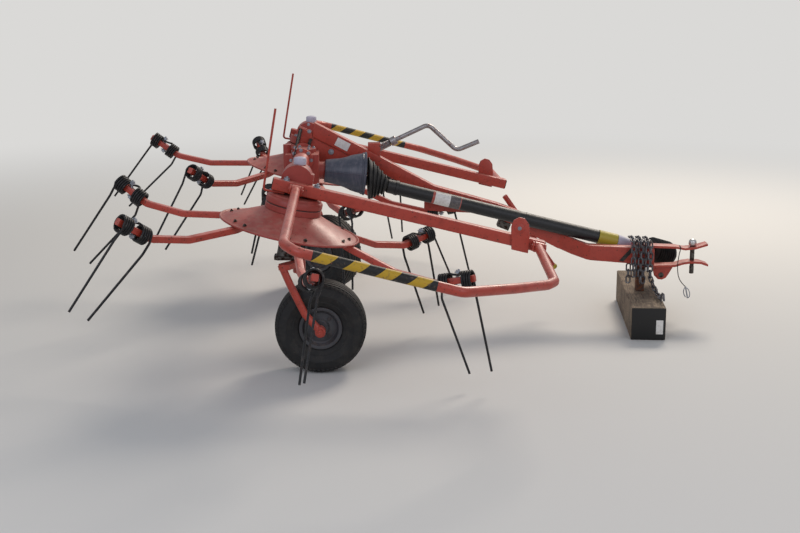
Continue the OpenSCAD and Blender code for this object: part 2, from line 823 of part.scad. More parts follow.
module tines(phase, hand) {
  color(black)
    for (i = [0 : arm_count - 1])
      rotate([0, 0, phase + i * 360 / arm_count]) tine_pair(hand);
}

module tines_near() { on_rotor(-1) tines(phase_near, 1); }
module tines_far() { on_rotor(1) tines(phase_far, -1); }

// The row origin is under the middle of the machine's box
module placed() {
  translate([-origin_x, 0, 0]) children();
}

placed() block();
placed() drawbar();
placed() drawbar_plates();
placed() hitch_tongues();
placed() hitch_pin();
placed() rest_leg();
placed() chain();
placed() tether();
placed() tether_clip();
placed() drawbar_strap();
placed() gear_strap();
placed() pto_shaft();
placed() pto_cone();
placed() pto_bellows();
placed() pto_guard();
placed() pto_bands();
placed() pto_joint();
placed() pto_bell();
placed() pto_yoke();
placed() centre_gearbox();
placed() cross_tubes();
placed() gear_housings();
placed() columns();
placed() rails();
placed() rail_brackets();
placed() hoop_forks();
placed() hoop_near();
placed() hoop_far();
placed() levers();
placed() crank_spindle();
placed() crank_mount();
placed() stand_holder();
placed() stand_tube();
placed() stand_cap();
placed() leg_near();
placed() leg_far();
placed() rim_near();
placed() rim_far();
placed() tyre_near();
placed() tyre_far();
placed() hub_near();
placed() hub_far();
placed() disc_near();
placed() disc_far();
placed() arms_near();
placed() arms_far();
placed() tines_near();
placed() tines_far();
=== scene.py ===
"""Looks of a two-rotor pull-type hay tedder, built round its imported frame.

Sizes are in millimetres in the machine frame of the part's source: X forward from the rotor
shafts, Y to the machine's left, Z up from the floor. Each finished piece is turned to metres in
the row frame, whose origin lies 449 mm ahead of the rotor shafts.
"""

import logging
import math
import random
from dataclasses import dataclass, field
from enum import Enum
from typing import Any, Sequence

import bmesh
import bpy
from mathutils import Matrix, Vector


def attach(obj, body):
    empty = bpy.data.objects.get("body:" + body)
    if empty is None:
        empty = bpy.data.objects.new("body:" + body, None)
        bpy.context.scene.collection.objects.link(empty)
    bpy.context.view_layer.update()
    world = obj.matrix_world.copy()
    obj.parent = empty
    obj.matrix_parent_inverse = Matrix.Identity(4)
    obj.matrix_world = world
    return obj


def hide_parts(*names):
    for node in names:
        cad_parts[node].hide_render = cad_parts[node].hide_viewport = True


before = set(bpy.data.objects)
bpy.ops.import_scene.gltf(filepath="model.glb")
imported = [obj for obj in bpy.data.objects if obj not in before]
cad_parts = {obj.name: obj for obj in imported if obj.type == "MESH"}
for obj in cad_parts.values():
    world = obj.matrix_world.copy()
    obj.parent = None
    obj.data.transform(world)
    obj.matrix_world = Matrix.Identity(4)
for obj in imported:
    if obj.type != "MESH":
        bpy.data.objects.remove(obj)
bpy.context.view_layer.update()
log = logging.getLogger("tedder")

Point = tuple[float, float, float]
# A corner of an outline as its reach and height, or the two ends of a range
Pair = tuple[float, float]
Tree = bpy.types.NodeTree
Node = bpy.types.Node
Socket = bpy.types.NodeSocket
Value = Socket | float

# Sizes of the frame that several pieces share, and the sides, -1 near and 1 far
ROW_ORIGIN_X = 449.0
ROTOR_Y = 719.0
ROTOR_Z = 556.0
ROTOR_LEAN = 11.6
GEAR_Z = ROTOR_Z + 202.0
TIMBER_H = 145.0
RAIL_FACE = 783.0
RAIL_REAR = -54.0
RAIL_FRONT = 1008.0
RAIL_RISE = 11.0
RAIL_TILT = math.radians(13.73)
HINGES = (37.0, 984.0)
SIDES = (-1, 1)
UP = Vector((0, 0, 1))
ACROSS = Vector((0, 1, 0))
TO_ROW = Matrix.Scale(0.001, 4) @ Matrix.Translation((-ROW_ORIGIN_X, 0.0, 0.0))


# Places

def side_name(side: int) -> str:
    """Returns the ending of a side's names."""
    return "near" if side < 0 else "far"


def shift(x: float, y: float, z: float) -> Matrix:
    """Returns a move along the three axes."""
    return Matrix.Translation((x, y, z))


def spun(degrees: float, axis: str = "Z") -> Matrix:
    """Returns a turn about an axis."""
    return Matrix.Rotation(math.radians(degrees), 4, axis)


def aim(spot: Sequence[float], along: Sequence[float]) -> Matrix:
    """Returns the place at a spot whose Z axis points along a direction."""
    turn = UP.rotation_difference(Vector(along).normalized()).to_matrix().to_4x4()
    return Matrix.Translation(Vector(spot)) @ turn


def on_rotor(side: int) -> Matrix:
    """Returns the place of a rotor, with Z up its leaning shaft."""
    return shift(0, side * ROTOR_Y, ROTOR_Z) @ spun(ROTOR_LEAN, "Y")


def rail_z(x: float) -> float:
    """Returns the height of the rail's middle at a place along the machine."""
    return GEAR_Z + RAIL_RISE - (x - RAIL_REAR) * math.tan(RAIL_TILT)


def raised(points: Sequence[Point], height: float) -> list[Vector]:
    """Returns points lifted by a height."""
    return [Vector((x, y, z + height)) for x, y, z in points]


def walk(points: Sequence[Vector], distance: float) -> Vector:
    """Returns the point at a distance along a line, and goes on straight past its end.

    Args:
        points: Corners of the line.
        distance: How far along it.
    """
    last = len(points) - 2
    for i in range(last + 1):
        leg = points[i + 1] - points[i]
        if distance <= leg.length or i == last:
            break
        distance -= leg.length
    return points[i] + leg * (distance / leg.length)


# Raw shapes

@dataclass
class Shape:
    """Points and faces of a raw shape, in millimetres."""

    points: list[Vector] = field(default_factory=list)
    faces: list[tuple[int, ...]] = field(default_factory=list)

    @classmethod
    def taken(cls, bm: bmesh.types.BMesh) -> "Shape":
        """Returns the shape that an edited mesh holds, and frees that mesh."""
        bm.verts.index_update()
        out = cls([v.co.copy() for v in bm.verts], [tuple(v.index for v in f.verts) for f in bm.faces])
        bm.free()
        return out

    def add(self, other: "Shape", place: Matrix | None = None) -> "Shape":
        """Adds a copy of another shape.

        Args:
            other: The shape to add.
            place: Where the copy goes, or None to leave it where it is.

        Returns:
            This shape.
        """
        base = len(self.points)
        self.points += [place @ p if place else p.copy() for p in other.points]
        self.faces += [tuple(i + base for i in f) for f in other.faces]
        return self

    def at(self, place: Matrix) -> "Shape":
        """Returns a copy of this shape at a place."""
        return Shape().add(self, place)

    def mesh(self, name: str, smooth_deg: float) -> bpy.types.Mesh:
        """Turns the shape to a mesh with outward faces and crisp edges kept.

        Args:
            name: Name of the mesh.
            smooth_deg: Edges bent by more than this stay crisp.

        Returns:
            The new mesh, still in millimetres.
        """
        mesh = bpy.data.meshes.new(name)
        mesh.from_pydata([tuple(p) for p in self.points], [], self.faces)
        tidy(mesh, smooth_deg)
        return mesh


def tidy(mesh: bpy.types.Mesh, smooth_deg: float, merge: float = 1e-4) -> None:
    """Merges doubles, turns faces outward and marks crisp edges.

    Args:
        mesh: The mesh to change.
        smooth_deg: Edges bent by more than this stay crisp.
        merge: Distance under which points are one.
    """
    bm = bmesh.new()
    bm.from_mesh(mesh)
    bmesh.ops.remove_doubles(bm, verts=bm.verts, dist=merge)
    bmesh.ops.recalc_face_normals(bm, faces=bm.faces)
    for face in bm.faces:
        face.smooth = True
    for edge in bm.edges:
        edge.smooth = edge.calc_face_angle(0.0) < math.radians(smooth_deg)
    bm.to_mesh(mesh)
    bm.free()


def lathe(profile: Sequence[Pair], turns: int = 96) -> Shape:
    """Turns a closed outline round the Z axis.

    Args:
        profile: Radius and height of each corner of the closed outline.
        turns: Steps round the axis.

    Returns:
        The turned shape.
    """
    out, n = Shape(), len(profile)
    on_axis = [r < 1e-6 for r, _ in profile]
    for k in range(turns):
        a = 2 * math.pi * k / turns
        out.points += [Vector((r * math.cos(a), r * math.sin(a), z)) for r, z in profile]
    for k in range(turns):
        here, then = k * n, (k + 1) % turns * n
        for i in range(n):
            j = (i + 1) % n
            if on_axis[i] and on_axis[j]:
                continue
            face = (here + i, then + i, then + j, here + j)
            if on_axis[i]:
                face = (here + i, then + j, here + j)
            elif on_axis[j]:
                face = (here + i, then + i, here + j)
            out.faces.append(face)
    return out


def drum(inner: float, outer: float, low: float, high: float, edge: float, turns: int = 32) -> Shape:
    """Returns a drum or ring about Z with chamfered outer edges.

    Args:
        inner: Radius of its bore, or 0 for a solid drum.
        outer: Its outer radius.
        low: Height of its lower face.
        high: Height of its upper face.
        edge: Width of the chamfers.
        turns: Steps round the axis.
    """
    return lathe([(inner, low), (outer - edge, low), (outer, low + edge), (outer, high - edge),
                  (outer - edge, high), (inner, high)], turns)


def rounded(corners: Sequence[Sequence[float]], radius: float, steps: int = 8) -> list[Vector]:
    """Rounds the bends of a line.

    Args:
        corners: Points of the line.
        radius: Bend radius, cut down where a leg is too short for it.
        steps: Points in each bend.

    Returns:
        Points of the rounded line.
    """
    leg_share = 0.48
    pts = [Vector(p) for p in corners]
    out = [pts[0]]
    for a, b, c in zip(pts, pts[1:], pts[2:]):
        u, v = (a - b).normalized(), (c - b).normalized()
        angle = u.angle(v)
        if angle > math.pi - 0.01:
            out.append(b)
            continue
        reach = min(radius / math.tan(angle / 2), (a - b).length * leg_share, (c - b).length * leg_share)
        r = reach * math.tan(angle / 2)
        centre = b + (u + v).normalized() * (r / math.sin(angle / 2))
        start, end = (b + u * reach - centre).normalized(), (b + v * reach - centre).normalized()
        out += [centre + start.slerp(end, k / steps) * r for k in range(steps + 1)]
    return out + [pts[-1]]


def sweep(line: Sequence[Vector], section: Sequence[Pair], up: Vector = UP) -> Shape:
    """Carries a section along a line, with closed ends.

    Args:
        line: Points of the line.
        section: Corners of the section, first sideways and then along up.
        up: Direction that the section's second axis leans to at the start.

    Returns:
        The swept shape.
    """
    out, n, last = Shape(), len(section), len(line) - 1
    tangents = [(line[min(i + 1, last)] - line[max(i - 1, 0)]).normalized() for i in range(last + 1)]
    side = tangents[0].cross(up)
    if side.length < 1e-3:
        side = tangents[0].cross(ACROSS)
    for p, t in zip(line, tangents):
        side = (side - t * side.dot(t)).normalized()
        over = side.cross(t)
        out.points += [p + side * x + over * y for x, y in section]
    for i in range(last):
        for k in range(n):
            m = (k + 1) % n
            out.faces.append((i * n + k, i * n + m, (i + 1) * n + m, (i + 1) * n + k))
    out.faces += [tuple(reversed(range(n))), tuple(range(last * n, last * n + n))]
    return out


def circle(radius: float, sides: int = 20) -> list[Pair]:
    """Returns the corners of a round section."""
    angles = [2 * math.pi * k / sides for k in range(sides)]
    return [(radius * math.cos(a), radius * math.sin(a)) for a in angles]


def square(width: float, height: float, corner: float, steps: int = 4) -> list[Pair]:
    """Returns the corners of a rounded rectangular section.

    Args:
        width: Size along the first axis.
        height: Size along the second axis.
        corner: Radius of each corner.
        steps: Steps in each corner.
    """
    out = []
    for k, (sx, sy) in enumerate(((1, 1), (-1, 1), (-1, -1), (1, -1))):
        cx, cy = sx * (width / 2 - corner), sy * (height / 2 - corner)
        for i in range(steps + 1):
            a = math.radians(90 * k + 90 * i / steps)
            out.append((cx + corner * math.cos(a), cy + corner * math.sin(a)))
    return out


def rod(start: Sequence[float], end: Sequence[float], radius: float, sides: int = 14) -> Shape:
    """Returns a straight round rod between two points."""
    return sweep([Vector(start), Vector(end)], circle(radius, sides), ACROSS)


def block_shape(size: Point, corner: float = 1.5) -> Shape:
    """Returns a box about the origin with chamfered edges.

    Args:
        size: Sizes along X, Y and Z.
        corner: Width of the chamfers.
    """
    bm = bmesh.new()
    bmesh.ops.create_cube(bm, size=1.0)
    bmesh.ops.scale(bm, vec=size, verts=bm.verts)
    bmesh.ops.bevel(bm, geom=bm.edges[:], offset=corner, segments=2, profile=0.6, affect="EDGES")
    return Shape.taken(bm)


def prism(outline: Sequence[Pair], low: float, high: float) -> Shape:
    """Returns a plate with the given plan, from one height to another."""
    n = len(outline)
    out = Shape([Vector((x, y, z)) for z in (low, high) for x, y in outline])
    out.faces = [tuple(reversed(range(n))), tuple(range(n, 2 * n))]
    out.faces += [(k, (k + 1) % n, n + (k + 1) % n, n + k) for k in range(n)]
    return out


def tube_film(radius: float, start: float, length: float, half_deg: float = 60.0) -> Shape:
    """Returns a thin bent film on a tube about Z, centred on its near side.

    Args:
        radius: Inner radius of the film.
        start: Height where it starts.
        length: Its length along Z.
        half_deg: Half of the angle that it covers.
    """
    n, thick = 12, 0.4
    angles = [math.radians(-90 - half_deg + 2 * half_deg * k / n) for k in range(n + 1)]
    out = Shape([Vector((r * math.cos(a), r * math.sin(a), z)) for z in (start, start + length)
                 for r in (radius, radius + thick) for a in angles])
    w = n + 1
    for k in range(n):
        out.faces += [(k, k + 1, 2 * w + k + 1, 2 * w + k), (w + k + 1, w + k, 3 * w + k, 3 * w + k + 1),
                      (k + 1, k, w + k, w + k + 1), (2 * w + k, 2 * w + k + 1, 3 * w + k + 1, 3 * w + k)]
    out.faces += [(0, 2 * w, 3 * w, w), (n, w + n, 3 * w + n, 2 * w + n)]
    return out


def hex_bolt(across: float = 17.0, height: float = 8.0, washer: float = 13.0) -> Shape:
    """Returns a bolt head on its washer, standing on the origin along Z.

    Args:
        across: Width across the flats.
        height: Height of the head.
        washer: Radius of the washer.
    """
    thick = 2.2
    top = thick + height
    corner = across / 2 / math.cos(math.pi / 6)
    shank = across * 0.24
    out = lathe([(0, 0), (washer, 0), (washer, 1.6), (washer - 0.6, thick), (0, thick)], 24)
    out.add(lathe([(0, thick), (corner, thick), (corner, 1.2 + height), (corner * 0.9, top), (0, top)], 6))
    return out.add(lathe([(0, top), (shank, top), (shank, 6 + height), (across * 0.18, 7 + height),
                          (0, 7 + height)], 12))


# Colours and shader nodes

def linear(code: str) -> tuple[float, float, float, float]:
    """Turns an sRGB hex colour to the linear values that a shader takes.

    Args:
        code: Six hex digits with a leading hash sign.

    Returns:
        Linear red, green, blue and an alpha of one.
    """
    parts = [int(code[i:i + 2], 16) / 255 for i in (1, 3, 5)]
    red, green, blue = [c / 12.92 if c <= 0.04045 else ((c + 0.055) / 1.055) ** 2.4 for c in parts]
    return red, green, blue, 1.0


def feed(tree: Tree, node: Node, inputs: dict[Any, Any]) -> None:
    """Sets the inputs of a node, or links those that are given a socket."""
    for key, value in inputs.items():
        if isinstance(value, Socket):
            tree.links.new(value, node.inputs[key])
        else:
            node.inputs[key].default_value = value


def add_node(tree: Tree, kind: str, inputs: dict[Any, Any] | None = None, **settings: Any) -> Node:
    """Adds one node with its settings, its fixed values and its links.

    Args:
        tree: Shader or geometry tree that gets the node.
        kind: Type name of the node.
        inputs: Socket name or number, with a value or the socket to link from.
        **settings: Properties of the node itself.

    Returns:
        The new node.
    """
    made = tree.nodes.new(kind)
    for name, value in settings.items():
        setattr(made, name, value)
    feed(tree, made, inputs or {})
    return made


@dataclass(frozen=True)
class Brush:
    """Tree, shader and object coordinates of one new material, with the patterns of all finishes."""

    tree: Tree
    shader: Node
    where: Socket

    def node(self, kind: str, inputs: dict[Any, Any] | None = None, **settings: Any) -> Node:
        """Adds a node to the material."""
        return add_node(self.tree, kind, inputs, **settings)

    def shade(self, colour: Socket, rough: Value, metallic: float = 0.0) -> None:
        """Gives the shader its colour, roughness and share of metal."""
        feed(self.tree, self.shader, {"Base Color": colour, "Roughness": rough, "Metallic": metallic})

    def ranged(self, value: Socket, low: float, high: float) -> Socket:
        """Returns a value stretched so that low gives 0 and high gives 1."""
        return self.node("ShaderNodeMapRange", {"Value": value, "From Min": low, "From Max": high},
                         clamp=True).outputs[0]

    def mapped(self, how: dict[str, Point], where: Socket | None = None) -> Socket:
        """Returns coordinates after a shift, a turn or a stretch."""
        start = self.where if where is None else where
        return self.node("ShaderNodeMapping", {"Vector": start, **how}).outputs[0]

    def grain(self, size_mm: float, low: float, high: float, detail: float = 4.0, seed: float = 0.0,
              where: Socket | None = None) -> Socket:
        """Returns patches from 0 to 1.

        Args:
            size_mm: About how wide a patch is.
            low: Noise value that gives 0.
            high: Noise value that gives 1.
            detail: How fine the edges of the patches are.
            seed: Which of many such patterns it is.
            where: Coordinates other than the material's own.
        """
        start = self.where if where is None else where
        noise = self.node("ShaderNodeTexNoise", {"Vector": start, "Scale": 1000 / size_mm, "Detail": detail,
                          "Roughness": 0.6, "W": seed}, noise_dimensions="4D")
        return self.ranged(noise.outputs[0], low, high)

    def tint(self, share: Socket, under: Socket | str, over: str) -> Socket:
        """Returns a colour that turns from under to over with the given share."""
        first = linear(under) if isinstance(under, str) else under
        return self.node("ShaderNodeMix", {0: share, 6: first, 7: linear(over)}, data_type="RGBA").outputs[2]

    def maths(self, how: str, a: Value, b: Value = 0.0, clamp: bool = True) -> Socket:
        """Returns the result of one sum on two values, kept from 0 to 1 where clamp is set."""
        return self.node("ShaderNodeMath", {0: a, 1: b}, operation=how, use_clamp=clamp).outputs[0]

    def times(self, a: Value, b: Value) -> Socket:
        """Returns a product from 0 to 1."""
        return self.maths("MULTIPLY", a, b)

    def plus(self, a: Value, b: Value) -> Socket:
        """Returns a sum from 0 to 1."""
        return self.maths("ADD", a, b)

    def lit_side(self, low: float, high: float) -> Socket:
        """Returns how far a surface faces the sky, 0 at the low height of its normal and 1 at the high."""
        normal = self.node("ShaderNodeNewGeometry").outputs["Normal"]
        return self.ranged(self.node("ShaderNodeSeparateXYZ", {0: normal}).outputs[2], low, high)

    def worn_edge(self, radius_mm: float, low: float, high: float) -> Socket:
        """Returns 1 along corners and 0 on flat places."""
        bevel = self.node("ShaderNodeBevel", {"Radius": radius_mm / 1000}, samples=4).outputs[0]
        normal = self.node("ShaderNodeNewGeometry").outputs["Normal"]
        dot = self.node("ShaderNodeVectorMath", {0: bevel, 1: normal}, operation="DOT_PRODUCT")
        return self.ranged(self.maths("SUBTRACT", 1.0, dot.outputs["Value"]), low, high)

    def relief(self, height: Socket, depth_mm: float, strength: float) -> None:
        """Gives the shader a fine relief from a height pattern."""
        bump = self.node("ShaderNodeBump", {"Height": height, "Distance": depth_mm / 1000,
                         "Strength": strength})
        feed(self.tree, self.shader, {"Normal": bump.outputs[0]})


# Finishes

@dataclass(frozen=True)
class Finish:
    """One finish, made once as a material."""

    name: str

    def material(self) -> bpy.types.Material:
        """Returns the material, and builds it on first use."""
        found = bpy.data.materials.get(self.name)
        if found:
            return found
        made = bpy.data.materials.new(self.name)
        made.use_nodes = True
        tree = made.node_tree
        where = add_node(tree, "ShaderNodeTexCoord").outputs["Object"]
        self.dress(Brush(tree, tree.nodes["Principled BSDF"], where))
        return made

    def dress(self, on: Brush) -> None:
        """Adds the nodes of this finish to a new material."""
        raise NotImplementedError


@dataclass(frozen=True)
class Enamel(Finish):
    """Gloss enamel sprayed on steel: paler on upward faces, partly chalky sun fading and partly a painted
    highlight, chipped and rusty at its edges.
    """

    base: str = "#A93A2A"
    # Paler colour of upward faces: partly sun fading, partly a painted highlight
    faded: str = "#C8766A"
    deep: str = "#7E261B"
    rust: str = "#4E2C1C"
    dust: str = "#A08A78"
    streak: str = "#7A3A22"
    chips: float = 0.60
    rough: float = 0.36
    dusty: float = 0.30

    def dress(self, on: Brush) -> None:
        """Adds fading with a painted highlight on upward faces, dust, chips with rust, rusty runs and a
        light orange peel.
        """
        cloud = on.grain(130, 0.38, 0.64, 3)
        # Upward faces turn paler: partly sun fading, partly a painted highlight
        fade_and_highlight_share = on.times(on.lit_side(0.30, 1.0), on.plus(on.times(cloud, 0.7), 0.2))
        colour = on.tint(fade_and_highlight_share, self.base, self.faded)
        colour = on.tint(on.times(on.grain(34, 0.50, 0.72, 5, 2.0), 0.55), colour, self.deep)
        dust = on.times(on.lit_side(0.55, 1.0), on.grain(22, 0.45, 0.75, 6, 5.0))
        colour = on.tint(on.times(dust, self.dusty), colour, self.dust)
        spots = on.grain(9, self.chips, self.chips + 0.05, 7, 9.0)
        flakes = on.times(on.worn_edge(3.0, 0.03, 0.22), on.grain(6, 0.50, 0.58, 5, 4.0))
        bare = on.maths("MAXIMUM", spots, flakes)
        down = on.mapped({"Scale": (1.0, 1.0, 0.12)})
        colour = on.tint(on.times(on.grain(12, 0.62, 0.78, 3, 1.0, down), 0.35), colour, self.streak)
        colour = on.tint(bare, colour, self.rust)
        rough = on.plus(on.times(cloud, 0.16), on.times(bare, 0.4))
        on.shade(colour, on.plus(rough, self.rough))
        feed(on.tree, on.shader, {"Coat Weight": 0.15, "Coat Roughness": 0.3})
        on.relief(on.maths("SUBTRACT", on.grain(4, 0.3, 0.7, 2, 3.0), bare), 0.5, 0.28)


@dataclass(frozen=True)
class BareMetal(Finish):
    """Uncoated or plated steel: clouded, with rust or oil in patches."""

    base: str = "#8C8E94"
    cloud: str = "#6E7076"
    stain: str = "#5A4032"
    stained: float = 0.58
    metallic: float = 0.85
    rough: float = 0.38

    def dress(self, on: Brush) -> None:
        """Adds clouding, stains and a fine roughness."""
        colour = on.tint(on.grain(16, 0.35, 0.65, 4), self.base, self.cloud)
        stain = on.grain(11, self.stained, self.stained + 0.10, 6, 3.0)
        fine = on.grain(1.5, 0.35, 0.65, 2, 6.0)
        rough = on.plus(on.times(fine, 0.14), on.times(stain, 0.35))
        on.shade(on.tint(stain, colour, self.stain), on.plus(rough, self.rough), self.metallic)
        on.relief(on.plus(fine, stain), 0.3, 0.3)


@dataclass(frozen=True)
class SpringSteel(Finish):
    """Spring steel wire, oil blacked and then worn by hay: black with brown and grey rubs."""

    base: str = "#1B1B1D"
    rub: str = "#4A4644"
    bloom: str = "#3A2820"

    def dress(self, on: Brush) -> None:
        """Adds rubbed patches, brown bloom and fine pitting."""
        colour = on.tint(on.grain(26, 0.56, 0.72, 4), self.base, self.rub)
        colour = on.tint(on.times(on.grain(40, 0.55, 0.7, 5, 4.0), 0.6), colour, self.bloom)
        fine = on.grain(2, 0.3, 0.7, 3, 7.0)
        on.shade(colour, on.plus(on.times(fine, 0.2), 0.34), 0.35)
        on.relief(fine, 0.25, 0.3)


@dataclass(frozen=True)
class TyreRubber(Finish):
    """Moulded tyre rubber: matt black, with grey road dust in patches."""

    base: str = "#151516"
    dust: str = "#5E5850"
    scuff: str = "#8A8278"
    rough: float = 0.72

    def dress(self, on: Brush) -> None:
        """Adds dust in patches, scuffs and a fine mould grain."""
        dust = on.times(on.grain(30, 0.45, 0.80, 7), 0.26)
        colour = on.tint(dust, self.base, self.dust)
        colour = on.tint(on.times(on.grain(5, 0.62, 0.72, 6, 3.0), 0.25), colour, self.scuff)
        on.shade(colour, on.plus(on.times(dust, 0.35), self.rough))
        on.relief(on.grain(3, 0.3, 0.7, 4, 1.0), 0.4, 0.35)


@dataclass(frozen=True)
class MouldedPlastic(Finish):
    """Moulded polyethylene: even in colour, scuffed, with dust on top and streaks down its sides."""

    base: str = "#17181A"
    scuff: str = "#4A4B4E"
    dust: str = "#77726A"
    streaky: float = 0.0
    rough: float = 0.46
    dusted: float = 0.5

    def dress(self, on: Brush) -> None:
        """Adds scuffs, dust and, where asked, pale streaks that run down."""
        colour = on.tint(on.times(on.grain(8, 0.60, 0.74, 6), 0.45), self.base, self.scuff)
        dust = on.times(on.lit_side(0.2, 1.2), on.grain(20, 0.42, 0.80, 6, 2.0))
        colour = on.tint(on.times(dust, self.dusted), colour, self.dust)
        if self.streaky > 0:
            down = on.mapped({"Scale": (1.0, 1.0, 0.10)})
            runs = on.grain(13, 0.46, 0.66, 5, 6.0, down)
            colour = on.tint(on.times(runs, self.streaky), colour, self.dust)
        on.shade(colour, on.plus(on.times(dust, 0.3), self.rough))
        on.relief(on.grain(2.5, 0.3, 0.7, 3, 8.0), 0.3, 0.2)


@dataclass(frozen=True)
class SawnTimber(Finish):
    """Rough-sawn softwood left outdoors: grey brown, with dark grain lines and checks."""

    pale: str = "#A6937B"
    dark: str = "#5C4E42"
    check: str = "#1E1814"
    grime: str = "#40372F"
    turn_deg: float = 5.0

    def dress(self, on: Brush) -> None:
        """Adds rings about the log's heart, drawn long along the block, and saw fuzz."""
        turn = (0, 0, math.radians(self.turn_deg))
        log_axes = on.mapped({"Location": (-1.11, 0.03, -0.03), "Rotation": turn})
        rings = on.node("ShaderNodeTexWave", {"Vector": log_axes, "Scale": 62.0, "Distortion": 7.0,
                        "Detail": 3.0, "Detail Scale": 0.5}, wave_type="RINGS", rings_direction="Y")
        long = on.mapped({"Scale": (1.0, 0.06, 1.0)}, log_axes)
        fibre = on.grain(4, 0.30, 0.70, 6, where=long)
        split = on.grain(16, 0.63, 0.70, 3, 5.0, long)
        share = on.plus(on.times(rings.outputs[1], 0.35), on.times(fibre, 0.45))
        colour = on.tint(split, on.tint(share, self.dark, self.pale), self.check)
        colour = on.tint(on.times(on.grain(90, 0.45, 0.62, 4, 3.0), 0.5), colour, self.grime)
        on.shade(colour, 0.88)
        on.relief(on.maths("SUBTRACT", fibre, split), 1.5, 0.6)


@dataclass(frozen=True)
class StripedBand(Finish):
    """Black adhesive band with slanted yellow stripes, pressed round a tube and weathered."""

    dark: str = "#141313"
    bright: str = "#B8921C"
    worn: str = "#5A4A3C"
    chip: str = "#A2402E"
    pitch_mm: float = 104.5
    share: float = 0.50
    start: Pair = (140.0, 678.4)
    fall: float = 0.2555
    slant: float = 1.55
    spare_stripes: int = 40

    def dress(self, on: Brush) -> None:
        """Adds the stripes by the distance along the tube and the height on it."""
        parts = on.node("ShaderNodeSeparateXYZ", {0: on.where}).outputs
        place = on.maths("ADD", parts[0], on.maths("MULTIPLY", parts[2], -self.slant, False), False)
        pitch = self.pitch_mm * (1 + self.slant * self.fall)
        first = self.start[0] - ROW_ORIGIN_X - self.slant * self.start[1]
        count = on.maths("MULTIPLY", place, 1000 / pitch, False)
        # Whole spare stripes keep the count above zero
        count = on.maths("ADD", count, self.spare_stripes - first / pitch, False)
        stripe = on.maths("LESS_THAN", on.maths("FRACT", count, clamp=False), self.share, False)
        colour = on.tint(stripe, self.dark, self.bright)
        colour = on.tint(on.times(on.grain(11, 0.56, 0.66, 6), 0.75), colour, self.worn)
        chips = on.grain(7, 0.66, 0.69, 6, 5.0)
        on.shade(on.tint(chips, colour, self.chip), 0.5)
        on.relief(chips, 0.3, 0.3)


@dataclass(frozen=True)
class Vinyl(Finish):
    """Blank printed-film label: flat, slightly glossy, yellowed and scuffed at its edges."""

    base: str = "#DAD8D4"
    grime: str = "#9C948A"

    def dress(self, on: Brush) -> None:
        """Adds yellowing and grime."""
        on.shade(on.tint(on.times(on.grain(9, 0.45, 0.75, 5), 0.5), self.base, self.grime), 0.4)
        on.relief(on.grain(3, 0.3, 0.7, 3), 0.2, 0.2)


@dataclass(frozen=True)
class Webbing(Finish):
    """Woven polyester strap, soaked with oil and dust."""

    base: str = "#1D1C1B"
    thread: str = "#4A4642"
    dust: str = "#6B6055"

    def dress(self, on: Brush) -> None:
        """Adds slanted rows of thread and patches of dust."""
        turned = on.mapped({"Rotation": (0, 0.8, 0.0)})
        wave = on.node("ShaderNodeTexWave", {"Vector": turned, "Scale": 100.0, "Distortion": 1.0})
        rows = wave.outputs[1]
        colour = on.tint(on.times(rows, 0.5), self.base, self.thread)
        colour = on.tint(on.times(on.grain(12, 0.5, 0.7, 5), 0.5), colour, self.dust)
        on.shade(colour, 0.85)
        on.relief(rows, 0.5, 0.5)


